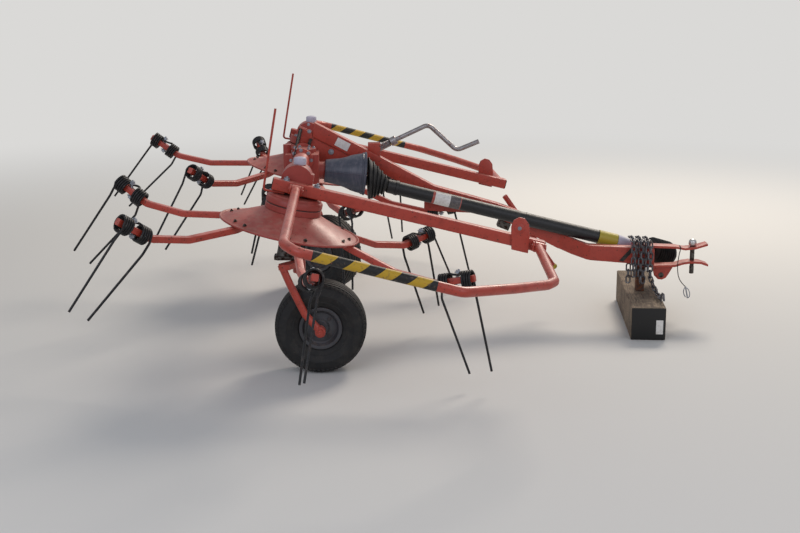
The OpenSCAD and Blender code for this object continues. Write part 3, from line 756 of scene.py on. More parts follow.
class Coat(Enum):
    """The finishes of this machine."""

    # Faded machine enamel gives a warm red with dark chips, and pink tops that are partly sun fading and
    # partly a painted highlight
    RED = Enamel("Red gloss enamel")
    # The castings' enamel is thicker and dirtier, so it is darker and rougher; the pressed disc wears it
    # too, where its darker red is painted shade
    CAST = Enamel("Red enamel on castings", base="#98342A", faded="#B8685E", rough=0.46, dusty=0.45,
                  chips=0.63)
    # The swept arms keep more colour, with brown rubs from hay; their paler tops are partly sun fading and
    # partly a painted highlight
    ARM = Enamel("Red enamel on tine arms", base="#B03C2C", faded="#D68C82", chips=0.59, dusty=0.3)
    # Wheel enamel is charcoal grey with dust on its upward faces
    RIM = Enamel("Charcoal wheel enamel", base="#3C3C40", faded="#5A585C", deep="#2A2A2D", rust="#5A3A28",
                 rough=0.45, dusty=0.6, chips=0.62)
    # Zinc plate on fasteners shines cold, with white bloom
    ZINC = BareMetal("Zinc-plated steel", base="#B4B8C0", cloud="#868A92", stain="#7A6A5C", stained=0.62)
    # The pin's knob was cleaned by hands and shines pale
    KNOB = BareMetal("Polished knob", base="#DAD8D4", cloud="#B4B2B0", stain="#8C8078", stained=0.62,
                     rough=0.3)
    # The worn crank tube keeps a grey plated look with rusty patches
    CRANK = BareMetal("Worn plated tube", base="#A8A4A4", cloud="#8A8484", stain="#8A4A38", stained=0.57,
                      rough=0.34)
    # Oily machined steel is brown grey
    OILY = BareMetal("Oily machined steel", base="#6A6661", cloud="#4C4844", stain="#3A2A20", stained=0.50)
    # Rusty steel is dull brown, with hardly any metal left to see
    RUSTY = BareMetal("Rusted steel", base="#5C4236", cloud="#4A3026", stain="#7A4A2C", stained=0.48,
                      metallic=0.25, rough=0.62)
    # Galvanised chain is dull grey with rust starting
    CHAIN = BareMetal("Dull galvanised chain", base="#7C7C80", cloud="#55555A", stain="#5C4434",
                      stained=0.55)
    SPRING = SpringSteel("Black spring steel")
    RUBBER = TyreRubber("Tyre rubber")
    # Boot rubber is softer and cleaner than a tyre
    BOOT = TyreRubber("Boot rubber", base="#141415", dust="#5A564F", rough=0.55)
    # The blue grey trumpet cover carries streaks of dried dust
    COVER = MouldedPlastic("Blue grey cover plastic", base="#3D4351", scuff="#5A6070", dust="#807C86",
                           streaky=0.3, rough=0.40)
    GUARD = MouldedPlastic("Black guard plastic")
    BAND = MouldedPlastic("Faded yellow plastic", base="#A8962A", scuff="#7A6E2C", dust="#8C8A6A")
    PALE = MouldedPlastic("Pale lavender plastic", base="#B4B0C0", scuff="#8A8694", dust="#C8C4C8")
    TIMBER = SawnTimber("Rough-sawn softwood")
    # The black sheet on the timber's near end is painted shade, and hides the end grain
    TAR = MouldedPlastic("Black end sealer", base="#121110", scuff="#2E2A26", dust="#4A4038", rough=0.6)
    STRIPE = StripedBand("Striped warning band")
    LABEL = Vinyl("Blank label film")
    # Two more films of the guard's label: a faded red edge and a dark faded field
    EDGE = Vinyl("Red label film", base="#A4443A")
    FIELD = Vinyl("Dark label film", base="#4E494B")
    STRAP = Webbing("Oily strap webbing")

    def on(self, data: bpy.types.Mesh | bpy.types.Curve) -> None:
        """Gives a mesh or a curve this finish alone."""
        data.materials.clear()
        data.materials.append(self.value.material())


# Pieces

def standing(name: str, data: Any) -> bpy.types.Object:
    """Adds an object to the scene."""
    made = bpy.data.objects.new(name, data)
    bpy.context.scene.collection.objects.link(made)
    return made


def finished(mesh: bpy.types.Mesh, name: str, coat: Coat, body: str,
             nodes: Sequence[str]) -> bpy.types.Object:
    """Makes a piece from its mesh, dresses it and lets it ride on its body.

    Args:
        mesh: Mesh in metres in the row frame.
        name: Name of the piece.
        coat: Its finish.
        body: Body that it rides on.
        nodes: Nodes of the frame that it replaces.

    Returns:
        The new piece.
    """
    coat.on(mesh)
    piece = standing(name, mesh)
    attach(piece, body)
    if nodes:
        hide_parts(*nodes)
    log.info("%s: %d faces on %s", name, len(mesh.polygons), body)
    return piece


def put(name: str, shape: Shape, coat: Coat, body: str, slot: str, *nodes: str,
        smooth_deg: float = 32.0) -> bpy.types.Object:
    """Makes a piece from a shape.

    Args:
        name: Name of the piece.
        shape: Its shape in the machine frame.
        coat: Its finish.
        body: Body that it rides on.
        slot: Material slot of the record; not used.
        *nodes: Nodes of the frame that it replaces.
        smooth_deg: Edges bent by more than this stay crisp.

    Returns:
        The new piece.
    """
    mesh = shape.mesh(name, smooth_deg)
    mesh.transform(TO_ROW)
    return finished(mesh, name, coat, body, nodes)


def softened(node: str, bevel_mm: float, coat: Coat, body: str, segments: int = 2) -> None:
    """Makes a piece from a node's solid with its edges really rounded.

    Args:
        node: The node that the piece stands for.
        bevel_mm: Width of the rounding.
        coat: Its finish.
        body: Body that it rides on.
        segments: Steps of each rounding.
    """
    flat, crisp = math.radians(0.6), math.radians(28)
    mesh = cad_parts[node].data.copy()
    mesh.name = node + "_soft"
    bm = bmesh.new()
    bm.from_mesh(mesh)
    bmesh.ops.remove_doubles(bm, verts=bm.verts, dist=2e-5)
    bmesh.ops.dissolve_limit(bm, angle_limit=flat, verts=bm.verts, edges=bm.edges)
    bmesh.ops.recalc_face_normals(bm, faces=bm.faces)
    sharp = [e for e in bm.edges if e.is_manifold and e.calc_face_angle(0.0) > crisp]
    bmesh.ops.bevel(bm, geom=sharp, offset=bevel_mm / 1000, segments=segments, profile=0.6,
                    affect="EDGES", clamp_overlap=True)
    bm.to_mesh(mesh)
    bm.free()
    tidy(mesh, 40.0, 1e-6)
    finished(mesh, node + "_soft", coat, body, [node])


@dataclass(frozen=True)
class Place:
    """Where one copy of a repeated item goes, and its size."""

    spot: Matrix
    size: float = 1.0


def bolt_circle(centre: Point, radius: float, count: int, facing: Point, size: float) -> list[Place]:
    """Returns places evenly round a circle.

    Args:
        centre: Middle of the circle.
        radius: Its radius.
        count: How many places it has.
        facing: Direction that the bolts point to, along Y or Z.
        size: Size of the bolts.
    """
    places = []
    for x, other in circle(radius, count):
        step = (x, 0, other) if facing[1] else (x, other, 0)
        places.append(Place(aim(Vector(centre) + Vector(step), facing), size))
    return places


class CopyTree:
    """Geometry tree that sets one item at many places, such as bolts, links and arms."""

    _tree: Tree | None = None

    @classmethod
    def tree(cls) -> Tree:
        """Returns the tree, and builds it on first use."""
        if cls._tree:
            return cls._tree
        tree = bpy.data.node_groups.new("Copies at places", "GeometryNodeTree")
        for name, way, kind in (("Places", "INPUT", "Geometry"), ("Item", "INPUT", "Object"),
                                ("Result", "OUTPUT", "Geometry")):
            tree.interface.new_socket(name, in_out=way, socket_type="NodeSocket" + kind)
        given = add_node(tree, "NodeGroupInput").outputs
        item = add_node(tree, "GeometryNodeObjectInfo", {"Object": given["Item"]})
        turn = add_node(tree, "GeometryNodeInputNamedAttribute", {"Name": "turn"}, data_type="FLOAT_VECTOR")
        size = add_node(tree, "GeometryNodeInputNamedAttribute", {"Name": "size"}, data_type="FLOAT")
        spin = add_node(tree, "FunctionNodeEulerToRotation", {0: turn.outputs[0]})
        copies = add_node(tree, "GeometryNodeInstanceOnPoints", {
            "Points": given["Places"], "Instance": item.outputs["Geometry"], "Rotation": spin.outputs[0],
            "Scale": size.outputs[0]})
        real = add_node(tree, "GeometryNodeRealizeInstances", {"Geometry": copies.outputs[0]})
        add_node(tree, "NodeGroupOutput", {"Result": real.outputs[0]})
        cls._tree = tree
        return tree

    @classmethod
    def run(cls, item: bpy.types.Object, places: Sequence[Place]) -> bpy.types.Mesh:
        """Returns one mesh with the item at every place, in millimetres."""
        points = bpy.data.meshes.new(item.name + "_places")
        points.from_pydata([tuple(p.spot.translation) for p in places], [], [])
        turns = [angle for p in places for angle in p.spot.to_euler("XYZ")]
        points.attributes.new("turn", "FLOAT_VECTOR", "POINT").data.foreach_set("vector", turns)
        points.attributes.new("size", "FLOAT", "POINT").data.foreach_set("value", [p.size for p in places])
        holder = standing(item.name + "_holder", points)
        modifier = holder.modifiers.new("Copies", "NODES")
        modifier.node_group = cls.tree()
        modifier[cls.tree().interface.items_tree["Item"].identifier] = item
        holder.update_tag()
        graph = bpy.context.evaluated_depsgraph_get()
        mesh = bpy.data.meshes.new_from_object(holder.evaluated_get(graph))
        bpy.data.objects.remove(holder)
        return mesh


def put_copies(name: str, item: Shape, places: Sequence[Place], coat: Coat, body: str, slot: str,
               *nodes: str, smooth_deg: float = 32.0) -> None:
    """Makes one piece that holds an item at many places.

    Args:
        name: Name of the piece.
        item: The repeated shape about its own origin.
        places: Where its copies go, in the machine frame.
        coat: Finish of the copies.
        body: Body that they ride on.
        slot: Material slot of the record; not used.
        *nodes: Nodes of the frame that the piece replaces.
        smooth_deg: Edges bent by more than this stay crisp.
    """
    source = standing(name + "_item", item.mesh(name + "_item", smooth_deg))
    mesh = CopyTree.run(source, places)
    bpy.data.objects.remove(source)
    mesh.name = name
    mesh.transform(TO_ROW)
    finished(mesh, name, coat, body, nodes)


# Sub-assemblies

@dataclass
class Sided:
    """A sub-assembly that the machine has once on each side, -1 for near and 1 for far."""

    side: int

    @property
    def tag(self) -> str:
        """Returns the ending of this side's names."""
        return side_name(self.side)


@dataclass
class Rotor(Sided):
    """One tined rotor: disc, hub, six arms and their double-coil tines."""

    phase: float
    hand: int
    arms: int = 6
    arm_side: float = 26.0
    lip: Pair = (276.0, 29.0)
    lip_r: float = 4.2
    arm_corner: float = 4.0
    arm_bend: float = 70.0
    screw: Pair = (244.0, 37.6)
    screw_lean: float = 23.2
    screw_aside: float = 7.5
    screw_size: float = 0.62
    hub_low: float = 96.0
    coil_in: float = 669.0
    coil_out: float = 751.0
    coil_rise: float = 17.0
    coil_r: float = 31.0
    wire: float = 9.5
    wire_gap: float = 0.35
    turns: float = 4.25
    tine_len: float = 366.0
    leg_bend: float = 34.0
    splay: float = 27.6
    bolt_r: float = 5.5
    bolt_z: float = 31.0
    nut_z: float = -17.0

    @property
    def body(self) -> str:
        """Returns the body of this rotor."""
        return "rotor_" + self.tag

    @property
    def coil_mid(self) -> float:
        """Returns the middle between the two coils, where the bolt goes."""
        return (self.coil_in + self.coil_out) / 2

    def around(self) -> list[Matrix]:
        """Returns the place of each arm."""
        return [on_rotor(self.side) @ spun(self.phase + i * 360 / self.arms) for i in range(self.arms)]

    def disc(self) -> None:
        """Builds the pressed disc with its rolled lip and the screws beside each arm."""
        lip = [(self.lip[0] + self.lip_r * math.cos(a), self.lip[1] + self.lip_r * math.sin(a))
               for a in [math.radians(d) for d in range(-90, 136, 25)]]
        top = [(270, 29.6), (264, 30.0), (258, 31.6), (250, 35.0), (226, 45.2), (190, 60.6), (150, 77.8),
               (126, 88.2), (114, 94.5), (112, 96), (60, 96)]
        under = [(60, 91), (110, 91), (124, 84.6), (150, 73.2), (190, 56.0), (226, 40.6), (250, 29.8),
                 (260, 26.2), (268, 25.2)]
        # The pressed disc takes the darker casting enamel as painted shade
        put("disc_shell_" + self.tag, lathe(top + under + lip, 128).at(on_rotor(self.side)), Coat.CAST,
            self.body, "paint", "disc_" + self.tag)
        on_disc = shift(self.screw[0], 0, self.screw[1]) @ spun(self.screw_lean, "Y")
        places = [Place(m @ spun(s * self.screw_aside) @ on_disc, self.screw_size)
                  for m in self.around() for s in SIDES]
        put_copies("disc_bolts_" + self.tag, hex_bolt(), places, Coat.OILY, self.body, "zinc")

    def hub(self) -> None:
        """Builds the cast hub with its groove and rounded shoulder, and the seal round its foot."""
        profile = [(30.1, 0.5), (110, 0.5), (112, 2), (112, 21), (110.5, 23), (108, 24), (108, 27),
                   (110.5, 28), (112, 30), (112, 47), (110.5, 50), (106, 53), (104, 55), (104, 58),
                   (102, 61), (98, 63.8), (30.1, 63.8)]
        seal = [(106, 119.6), (109.2, 119.8), (109.4, 121.5), (109.2, 123.2), (106, 123.4)]
        place = on_rotor(self.side)
        put("hub_cast_" + self.tag, lathe(profile).at(place @ shift(0, 0, self.hub_low)), Coat.CAST,
            self.body, "cast", "hub_" + self.tag)
        put("hub_seal_" + self.tag, lathe(seal).at(place), Coat.BOOT, self.body, "rubber")

    def arm(self) -> Shape:
        """Returns one bent square arm with its raised end."""
        line = [(125, 0, 70.3), (255.7, 0, 13.2), (462.5, 0, -32), (631, 0, -32), (779, 0, 29.5)]
        section = square(self.arm_side, self.arm_side, self.arm_corner, 3)
        return sweep(rounded(line, self.arm_bend, 6), section)

    def half_tine(self, s: int) -> list[Vector]:
        """Returns the line of one leg from its tip, with its coil.

        Args:
            s: -1 for the inner leg and 1 for the outer.
        """
        slope = math.atan2(2 * self.coil_rise, self.coil_out - self.coil_in)
        axis = Vector((math.cos(slope), 0, math.sin(slope)))
        up = Vector((-math.sin(slope), 0, math.cos(slope)))
        side = Vector((0, float(self.hand), 0))
        width = self.turns * (self.wire + self.wire_gap) / 2
        centre = Vector((self.coil_mid + s * (self.coil_out - self.coil_in) / 2, 0, s * self.coil_rise))
        steps = int(self.turns * 20)
        coil = []
        for k in range(steps + 1):
            angle = 2 * math.pi * self.turns * k / steps
            out = side * math.cos(angle) + up * math.sin(angle)
            coil.append(centre + axis * s * width * (1 - 2 * k / steps) + out * self.coil_r)
        start = coil[0]
        splay = math.radians(self.splay)
        tip = (centre.x + self.tine_len * math.sin(splay), self.hand * 8,
               centre.z - self.tine_len * math.cos(splay))
        kink = start + Vector((18 + s * 4, self.hand * -12, -62))
        leg = rounded([tip, kink, start + Vector((0, 0, -14)), start], self.leg_bend, 6)[:-1]
        return [leg[0].lerp(leg[1], t / 6) for t in range(6)] + leg[1:] + coil

    def tine_line(self) -> list[Vector]:
        """Returns the line of one wire: leg, coil, loop round the bolt, coil and leg."""
        inner, outer = self.half_tine(-1), self.half_tine(1)
        a, b = inner[-1], outer[-1]
        loop = [(a.x + 3, 12, a.z + 2), (self.coil_mid - 17, 18, 24), (self.coil_mid, 12.6, 25.6),
                (self.coil_mid + 12, 17, 29), (b.x - 2, 11, b.z - 4)]
        ring = rounded([a] + [(x, -self.hand * y, z) for x, y, z in loop] + [b], 8, 4)[1:-1]
        return inner + ring + outer[::-1]

    def tines(self) -> None:
        """Builds the six arms, their double-coil tines and the bolts that hold them."""
        places = [Place(m) for m in self.around()]
        wire = sweep(self.tine_line(), circle(self.wire / 2, 10), ACROSS)
        put_copies("spring_tines_" + self.tag, wire, places, Coat.SPRING, self.body, "spring",
                   "tines_" + self.tag, smooth_deg=60)
        put_copies("bent_arms_" + self.tag, self.arm(), places, Coat.ARM, self.body, "paint",
                   "arms_" + self.tag)
        low, r = self.nut_z - 7, self.bolt_r
        bolt = lathe([(0, low), (r, low), (r, self.bolt_z), (0, self.bolt_z)], 16)
        bolt.add(hex_bolt(across=19, height=9, washer=15), shift(0, 0, self.bolt_z))
        bolt.add(hex_bolt(across=19, height=10, washer=14), shift(0, 0, self.nut_z) @ spun(180, "X"))
        put_copies("tine_bolts_" + self.tag, bolt.at(shift(self.coil_mid, 0, 0)), places, Coat.ZINC,
                   self.body, "zinc")

    def build(self) -> None:
        """Builds the whole rotor."""
        self.disc()
        self.hub()
        self.tines()


@dataclass
class Wheel(Sided):
    """One pneumatic wheel on its swivelling leg."""

    turn_deg: float
    tyre_d: float = 370.0
    tyre_w: float = 150.0
    ribs: int = 5
    tread_blocks: int = 60
    block: Point = (8, 10.5, 17)
    block_in: Pair = (13.0, 13.5)
    block_lean: float = 38.0
    rim_bolt: Pair = (47.0, 36.6)
    rim_bolt_size: float = 0.62
    axle_x: float = 125.0
    axle_in: float = 58.0
    king_x: float = 42.0
    leg_out: float = 100.0
    leg_r: float = 15.0
    leg_bend: float = 60.0
    axle_r: float = 12.5
    foot: float = ROTOR_Z - 97.7

    @property
    def body(self) -> str:
        """Returns the body of this wheel."""
        return "wheel_" + self.tag

    def turned(self) -> Matrix:
        """Returns the place of the leg, turned about its king-pin."""
        return shift(self.king_x, self.side * ROTOR_Y, 0) @ spun(self.turn_deg) @ shift(-self.king_x, 0, 0)

    def centre(self) -> Matrix:
        """Returns the place of the wheel, with Z along its axle."""
        return self.turned() @ shift(self.axle_x, 0, self.tyre_d / 2) @ spun(90, "X")

    def tread(self) -> list[Pair]:
        """Returns the outline of the ribs round the tread."""
        r, gap, half = self.tyre_d / 2, 21.0, 7.6
        out = []
        for rib in range(self.ribs):
            mid = (rib - self.ribs // 2) * gap
            crown = r - 1.0 - (mid / 60) ** 2 * 5
            edge = [(crown - 5.5, half + 1.4), (crown - 0.6, half), (crown, half - 1.2)]
            out += [(a, mid - b) for a, b in edge] + [(a, mid + b) for a, b in edge[::-1]]
        return out

    def tyre(self) -> None:
        """Builds the tyre with ribs round its tread and small blocks on its shoulders."""
        r, w = self.tyre_d / 2, self.tyre_w / 2
        depths = [(9, 16), (12, 11), (20, 6), (33, 1.5), (46, 0.2), (47.5, -0.4), (49.5, -0.4), (51, 0.4),
                  (62, 3.5), (74, 9.5), (77, 9.3), (79, 10.6), (88, 15), (93, 17), (97.5, 21.5), (99, 26),
                  (99, 31), (108, 32)]
        wall = [(r - down, w - inward) for down, inward in depths]
        outline = [(a, -b) for a, b in wall[::-1]] + self.tread() + wall
        put("tyre_tread_" + self.tag, lathe(outline, 120).at(self.centre()), Coat.RUBBER, self.body, "tyre",
            "tyre_" + self.tag, smooth_deg=28)
        blocks = []
        for k in range(self.tread_blocks):
            for s in SIDES:
                step = (k + (0.5 if s > 0 else 0)) * 360 / self.tread_blocks
                on_shoulder = shift(r - self.block_in[0], 0, s * (w - self.block_in[1]))
                on_shoulder = on_shoulder @ spun(-s * self.block_lean, "Y")
                blocks.append(Place(self.centre() @ spun(step) @ on_shoulder))
        put_copies("tyre_lugs_" + self.tag, block_shape(self.block, 1.2), blocks, Coat.RUBBER, self.body,
                   "tyre")

    def rim(self) -> None:
        """Builds the pressed wheel with its hub, bolts and valve."""
        half = [(76, 43), (77, 47), (80, 51), (84, 53), (86, 54.5), (86, 57), (84, 58.5), (78, 58.5),
                (73, 57), (70.5, 54), (68, 44), (65, 37), (60, 34.5), (50, 36.5), (36, 39), (34, 41),
                (33, 47), (31, 50), (28, 52), (12.6, 52)]
        outline = [(r, -z) for r, z in half[::-1]] + half
        put("rim_press_" + self.tag, lathe(outline).at(self.centre()), Coat.RIM, self.body, "rim",
            "rim_" + self.tag)
        places = []
        for face in SIDES:
            for k in range(4):
                spot = spun(45 + 90 * k) @ shift(self.rim_bolt[0], 0, face * self.rim_bolt[1])
                outward = spun(0 if face > 0 else 180, "X")
                places.append(Place(self.centre() @ spot @ outward, self.rim_bolt_size))
        put_copies("rim_bolts_" + self.tag, hex_bolt(), places, Coat.RIM, self.body, "zinc")
        stem = sweep(rounded([(64, 0, 30), (66, 0, 44), (60, 0, 62)], 6, 4), circle(3.2, 12))
        put("rim_valve_" + self.tag, stem.at(self.centre() @ spun(200)), Coat.BOOT, self.body, "tyre")

    def leg(self) -> None:
        """Builds the bent leg, its king-pin sleeve, weld plate, axle and nuts."""
        s, out, foot, axle_z = self.side, self.leg_out, self.foot, self.tyre_d / 2
        line = rounded([(-24, s * out, foot - 3), (10, s * out, 374), (66, s * out, 255),
                        (self.axle_x, s * out, axle_z)], self.leg_bend, 8)
        shape = sweep(line, circle(self.leg_r, 24), ACROSS)
        sleeve = [(12.1, foot - 55.3), (24, foot - 55.3), (25.5, foot - 53.5), (25.5, foot - 2),
                  (24, foot - 0.3), (12.1, foot - 0.3)]
        shape.add(lathe(sleeve, 48), shift(self.king_x, 0, 0))
        plate = [(26, s * 16), (58, s * 16), (8, s * 112), (-34, s * 112), (-34, s * 90)]
        shape.add(prism(plate, foot - 22.3, foot - 0.4))
        ends = [Vector((self.axle_x, s * y, axle_z)) for y in (out + 16, -self.axle_in)]
        shape.add(sweep(ends, circle(self.axle_r, 24)))
        shape.add(drum(0, 21, -19, 19, 2), aim((self.axle_x, s * out, axle_z), ACROSS))
        swivel = "swivel_" + self.tag
        put("leg_bent_" + self.tag, shape.at(self.turned()), Coat.RED, swivel, "paint", "leg_" + self.tag)
        places = [Place(self.turned() @ aim((self.axle_x, s * y, axle_z), (0, s * way, 0)))
                  for y, way in ((out + 18, 1), (-self.axle_in - 0.2, -1))]
        nut = hex_bolt(across=22, height=9, washer=15)
        put_copies("axle_nuts_" + self.tag, nut, places, Coat.RED, swivel, "zinc")

    def build(self) -> None:
        """Builds the whole wheel."""
        self.tyre()
        self.rim()
        self.leg()


@dataclass
class GuardHoop(Sided):
    """One tubular side guard with its striped outer run."""

    tube: float = 36.0
    bend: float = 58.0
    end_y: float = 795.0
    eye_y: float = 806.0
    eye_bore: float = 8.1
    eye_r: float = 21.0
    eye_half: float = 17.6
    band: Pair = (127.0, 537.0)
    table: tuple[Point, ...] = ((31, 857, -48), (75, 917, -63), (623, 917, -203), (815, 722, -238),
                                (950, 560, -265), (984, 497, -268))

    def corners(self) -> list[Point]:
        """Returns the corners of the tube's line."""
        ends = [(x, self.side * self.end_y, rail_z(x)) for x in HINGES]
        middle = [(x, self.side * (RAIL_FACE + y), GEAR_Z + z) for x, y, z in self.table]
        return [ends[0]] + middle + [ends[1]]

    def build(self) -> None:
        """Builds the tube, its hinge eyes and its striped band."""
        shape = sweep(rounded(self.corners(), self.bend, 9), circle(self.tube / 2, 28))
        along = (math.cos(RAIL_TILT), 0, -math.sin(RAIL_TILT))
        eye = drum(self.eye_bore, self.eye_r, -self.eye_half, self.eye_half, 1)
        for x in HINGES:
            shape.add(eye, aim((x, self.side * self.eye_y, rail_z(x)), along))
        body = "guard_" + self.tag
        put("hoop_tube_" + self.tag, shape, Coat.RED, body, "paint", "hoop_" + self.tag)
        a, b = [Vector(p) for p in self.corners()[2:4]]
        ends = [a + (b - a) * ((x - a.x) / (b - a).x) for x in self.band]
        wrap = sweep([ends[0].lerp(ends[1], k / 24) for k in range(25)], circle(self.tube / 2 + 0.5, 28))
        put("hoop_band_" + self.tag, wrap, Coat.STRIPE, body, "paint")


@dataclass
class SideFrames:
    """Rails, their ears and forks, and the two wheel-angle levers."""

    rail: float = 46.0
    corner: float = 5.0
    ear: Pair = (909.0, GEAR_Z - 168)
    ear_out: float = 8.3
    boss_h: float = 3.0
    lever_y: float = 764.0
    lever_r: float = 4.5
    bolt_xs: Pair = (0.0, 118.0)

    def build(self) -> None:
        """Builds both sides."""
        rails, caps, levers = Shape(), Shape(), Shape()
        bolts: list[Place] = []
        half_height = self.rail / 2 / math.cos(RAIL_TILT)
        for s in SIDES:
            y = s * (RAIL_FACE - self.rail / 2)
            ends = [Vector((x, y, rail_z(x))) for x in (RAIL_REAR, RAIL_FRONT)]
            rails.add(sweep(ends, square(self.rail, self.rail, self.corner)))
            along = (ends[1] - ends[0]).normalized()
            for end, way in zip(ends, (-1, 1)):
                cap = [end + along * way * 0.1, end + along * way * 3.2]
                caps.add(sweep(cap, square(self.rail - 5, self.rail - 5, self.corner - 1)))
            side_view = ((-10, rail_z(-10) - half_height - 5.1), (-91, GEAR_Z - 14), (-38, GEAR_Z + 301))
            line = rounded([(x, s * self.lever_y, z) for x, z in side_view], 12, 6)
            levers.add(sweep(line, circle(self.lever_r, 16), ACROSS))
            boss = [(0, 0), (17, 0), (19, 1), (19, 2.2), (17.5, self.boss_h), (0, self.boss_h)]
            ear = aim((self.ear[0], s * (RAIL_FACE + self.ear_out), self.ear[1]), (0, s, 0))
            rails.add(lathe(boss, 48), ear)
            bolts.append(Place(ear @ shift(0, 0, self.boss_h), 0.6))
            for x in self.bolt_xs:
                spot = (x, s * (RAIL_FACE - 20), rail_z(x) + half_height)
                bolts.append(Place(aim(spot, (math.sin(RAIL_TILT), 0, math.cos(RAIL_TILT))), 1.1))
        put("rail_tubes", rails, Coat.RED, "frame", "paint", "rails")
        put("rail_plugs", caps, Coat.GUARD, "frame", "rubber")
        put("lever_rods", levers, Coat.RED, "frame", "paint", "levers")
        put_copies("rail_bolts", hex_bolt(), bolts, Coat.ZINC, "frame", "zinc")
        softened("rail_brackets", 2.0, Coat.RED, "frame")
        softened("hoop_forks", 2.0, Coat.RED, "frame")


@dataclass
class DriveShaft:
    """Guarded drive shaft with its trumpet cover, boot, bands, front bell and yoke."""

    rear: Pair = (130.0, GEAR_Z - 59.6)
    front: Pair = (1548.0, TIMBER_H + 188.7)
    drift: float = 0.05
    bore: float = 20.4
    guard_r: float = 30.0
    guard_x: float = 405.0
    label_x: float = 560.0
    label_r: float = 31.35
    band_x: float = 1363.0
    taper_x: float = 1450.0
    fins: int = 8
    fin_z: float = 86.0
    fin_pitch: float = 14.0
    boot: tuple[Point, ...] = ((322, -99, 97), (338, -104, 84), (354, -111, 71), (370, -118, 58),
                               (386, -125, 46))

    @property
    def tilt(self) -> float:
        """Returns the shaft's droop in radians."""
        return math.atan((self.rear[1] - self.front[1]) / (self.front[0] - self.rear[0]))

    def lying(self, tilt_deg: float) -> Matrix:
        """Returns a turn whose Z axis goes forward and down, with the shaft's turn aside."""
        return spun(math.degrees(math.atan(self.drift))) @ spun(90 + tilt_deg, "Y")

    def along(self, x: float) -> Matrix:
        """Returns a place on the shaft with Z along it."""
        far = (x - self.rear[0]) / math.cos(self.tilt) / math.cos(math.atan(self.drift))
        start = shift(self.rear[0], 0, self.rear[1])
        return start @ self.lying(math.degrees(self.tilt)) @ shift(0, 0, far)

    def at_input(self) -> Matrix:
        """Returns the gearbox input's place with Z along it."""
        return shift(105, -1, GEAR_Z - 57.5) @ self.lying(5)

    def at_joint(self) -> Matrix:
        """Returns the front joint's place with Z towards the yoke."""
        return self.along(self.front[0]) @ spun(-28, "X") @ spun(5, "Y")

    def cover(self) -> None:
        """Builds the trumpet cover with its seam and rim bead."""
        flare = [(50, 26.5), (53, 45), (56, 64), (60, 90), (68, 117), (79, 144), (85, 168), (90, 192),
                 (93.5, 196), (96, 200)]
        inside = [(96.5, 203), (94.5, 205), (91.5, 204), (85, 196), (80, 170), (73, 144), (63, 118),
                  (55, 94), (48, 50), (45, 30), (38.4, 30)]
        shape = lathe([(38.4, 24), (47, 24)] + flare + inside, 120)
        put("cone_cover", shape.at(self.at_input()), Coat.COVER, "frame", "cover", "pto_cone")
        seam = lathe([(89.2, 186), (91.6, 187), (92.4, 189.5), (91.4, 192), (89.6, 192)])
        for a in (86, 266):
            seam.add(sweep([spun(a) @ Vector((r + 0.7, 0, z)) for r, z in flare], circle(1.6, 8)))
        put("cone_seams", seam.at(self.at_input()), Coat.COVER, "frame", "cover")

    def bellows(self) -> None:
        """Builds the folded boot from rounded pleats that shrink towards the guard."""
        out = Shape()
        for k, (x, z, r) in enumerate(self.boot):
            turn = self.lying(math.degrees(self.tilt) * k / (len(self.boot) - 1))
            ring = [(21, -2), (r - 9, -2), (r - 2.5, 0.5), (r, 3.5), (r - 0.6, 6), (r - 4, 8),
                    (r - 10, 9.2), (r - 19, 19), (21, 19)]
            out.add(lathe(ring), shift(x, (x - self.rear[0]) * self.drift, GEAR_Z + z) @ turn)
        put("boot_pleats", out, Coat.BOOT, "frame", "rubber", "pto_bellows")

    def tube(self) -> None:
        """Builds the guard tube with its collar and ribs, the yellow band and the pale taper."""
        bore, r = self.bore, self.guard_r
        guard = [(bore, 1.5), (r - 1, 1.5), (r + 1, 3.5), (r + 1, 36), (r + 3.5, 38), (r + 3.5, 50),
                 (r + 1, 51.5), (r, 52), (r, 300), (r + 0.8, 301), (r + 0.8, 306), (r, 307), (r, 640),
                 (r + 1, 641), (r + 1, 650), (r, 651), (r, 988), (bore, 988)]
        band = [(bore, 0), (31.4, 0), (32, 0.8), (32, 87.2), (31.4, 88), (bore, 88)]
        taper = [(bore, 0), (30, 0), (31, 1.5), (30.4, 12), (23.4, 60), (22, 68), (bore, 69)]
        put("guard_tube", lathe(guard, 64).at(self.along(self.guard_x)), Coat.GUARD, "frame", "guard",
            "pto_guard")
        put("guard_band", lathe(band, 64).at(self.along(self.band_x)), Coat.BAND, "frame", "band",
            "pto_bands")
        put("guard_taper", lathe(taper, 64).at(self.along(self.taper_x)), Coat.PALE, "frame", "band")

    def label(self) -> None:
        """Builds the guard's faded label: a pale and a dark film between two red edges."""
        films = (("guard_label_edges", Coat.EDGE, ((48.0, 11.0), (176.0, 4.0))),
                 ("guard_label", Coat.LABEL, ((59.0, 70.0),)),
                 ("guard_label_field", Coat.FIELD, ((129.0, 47.0),)))
        for name, coat, runs in films:
            film = Shape()
            for start, length in runs:
                film.add(tube_film(self.label_r, start, length), self.along(self.label_x))
            put(name, film, coat, "frame", "guard")

    def bell(self) -> None:
        """Builds the finned front bell and the yoke with its lock collar."""
        profile = [(24.4, 82), (42, 82), (44, 84)]
        for k in range(self.fins):
            z = self.fin_z + k * self.fin_pitch
            profile += [(49, z - 0.5), (57.5, z + 0.3), (59.6, z + 1.4), (59.6, z + 2.8), (57.5, z + 3.9),
                        (49, z + 5.4)]
        profile += [(52, 204), (50.5, 206), (47.5, 206), (46, 204), (46, 180), (24.4, 180)]
        put("bell_fins", lathe(profile).at(self.at_joint()), Coat.BOOT, "frame", "rubber", "pto_bell")
        yoke = [(17.6, 190), (17.6, 228), (19, 230.2), (28, 230.2), (30, 228.5), (30, 214), (27, 212),
                (27, 206), (30, 204), (30, 182), (28, 180.4), (0, 180.4), (0, 190)]
        put("yoke_collar", lathe(yoke, 64).at(self.at_joint()), Coat.RUSTY, "frame", "steel", "pto_yoke")

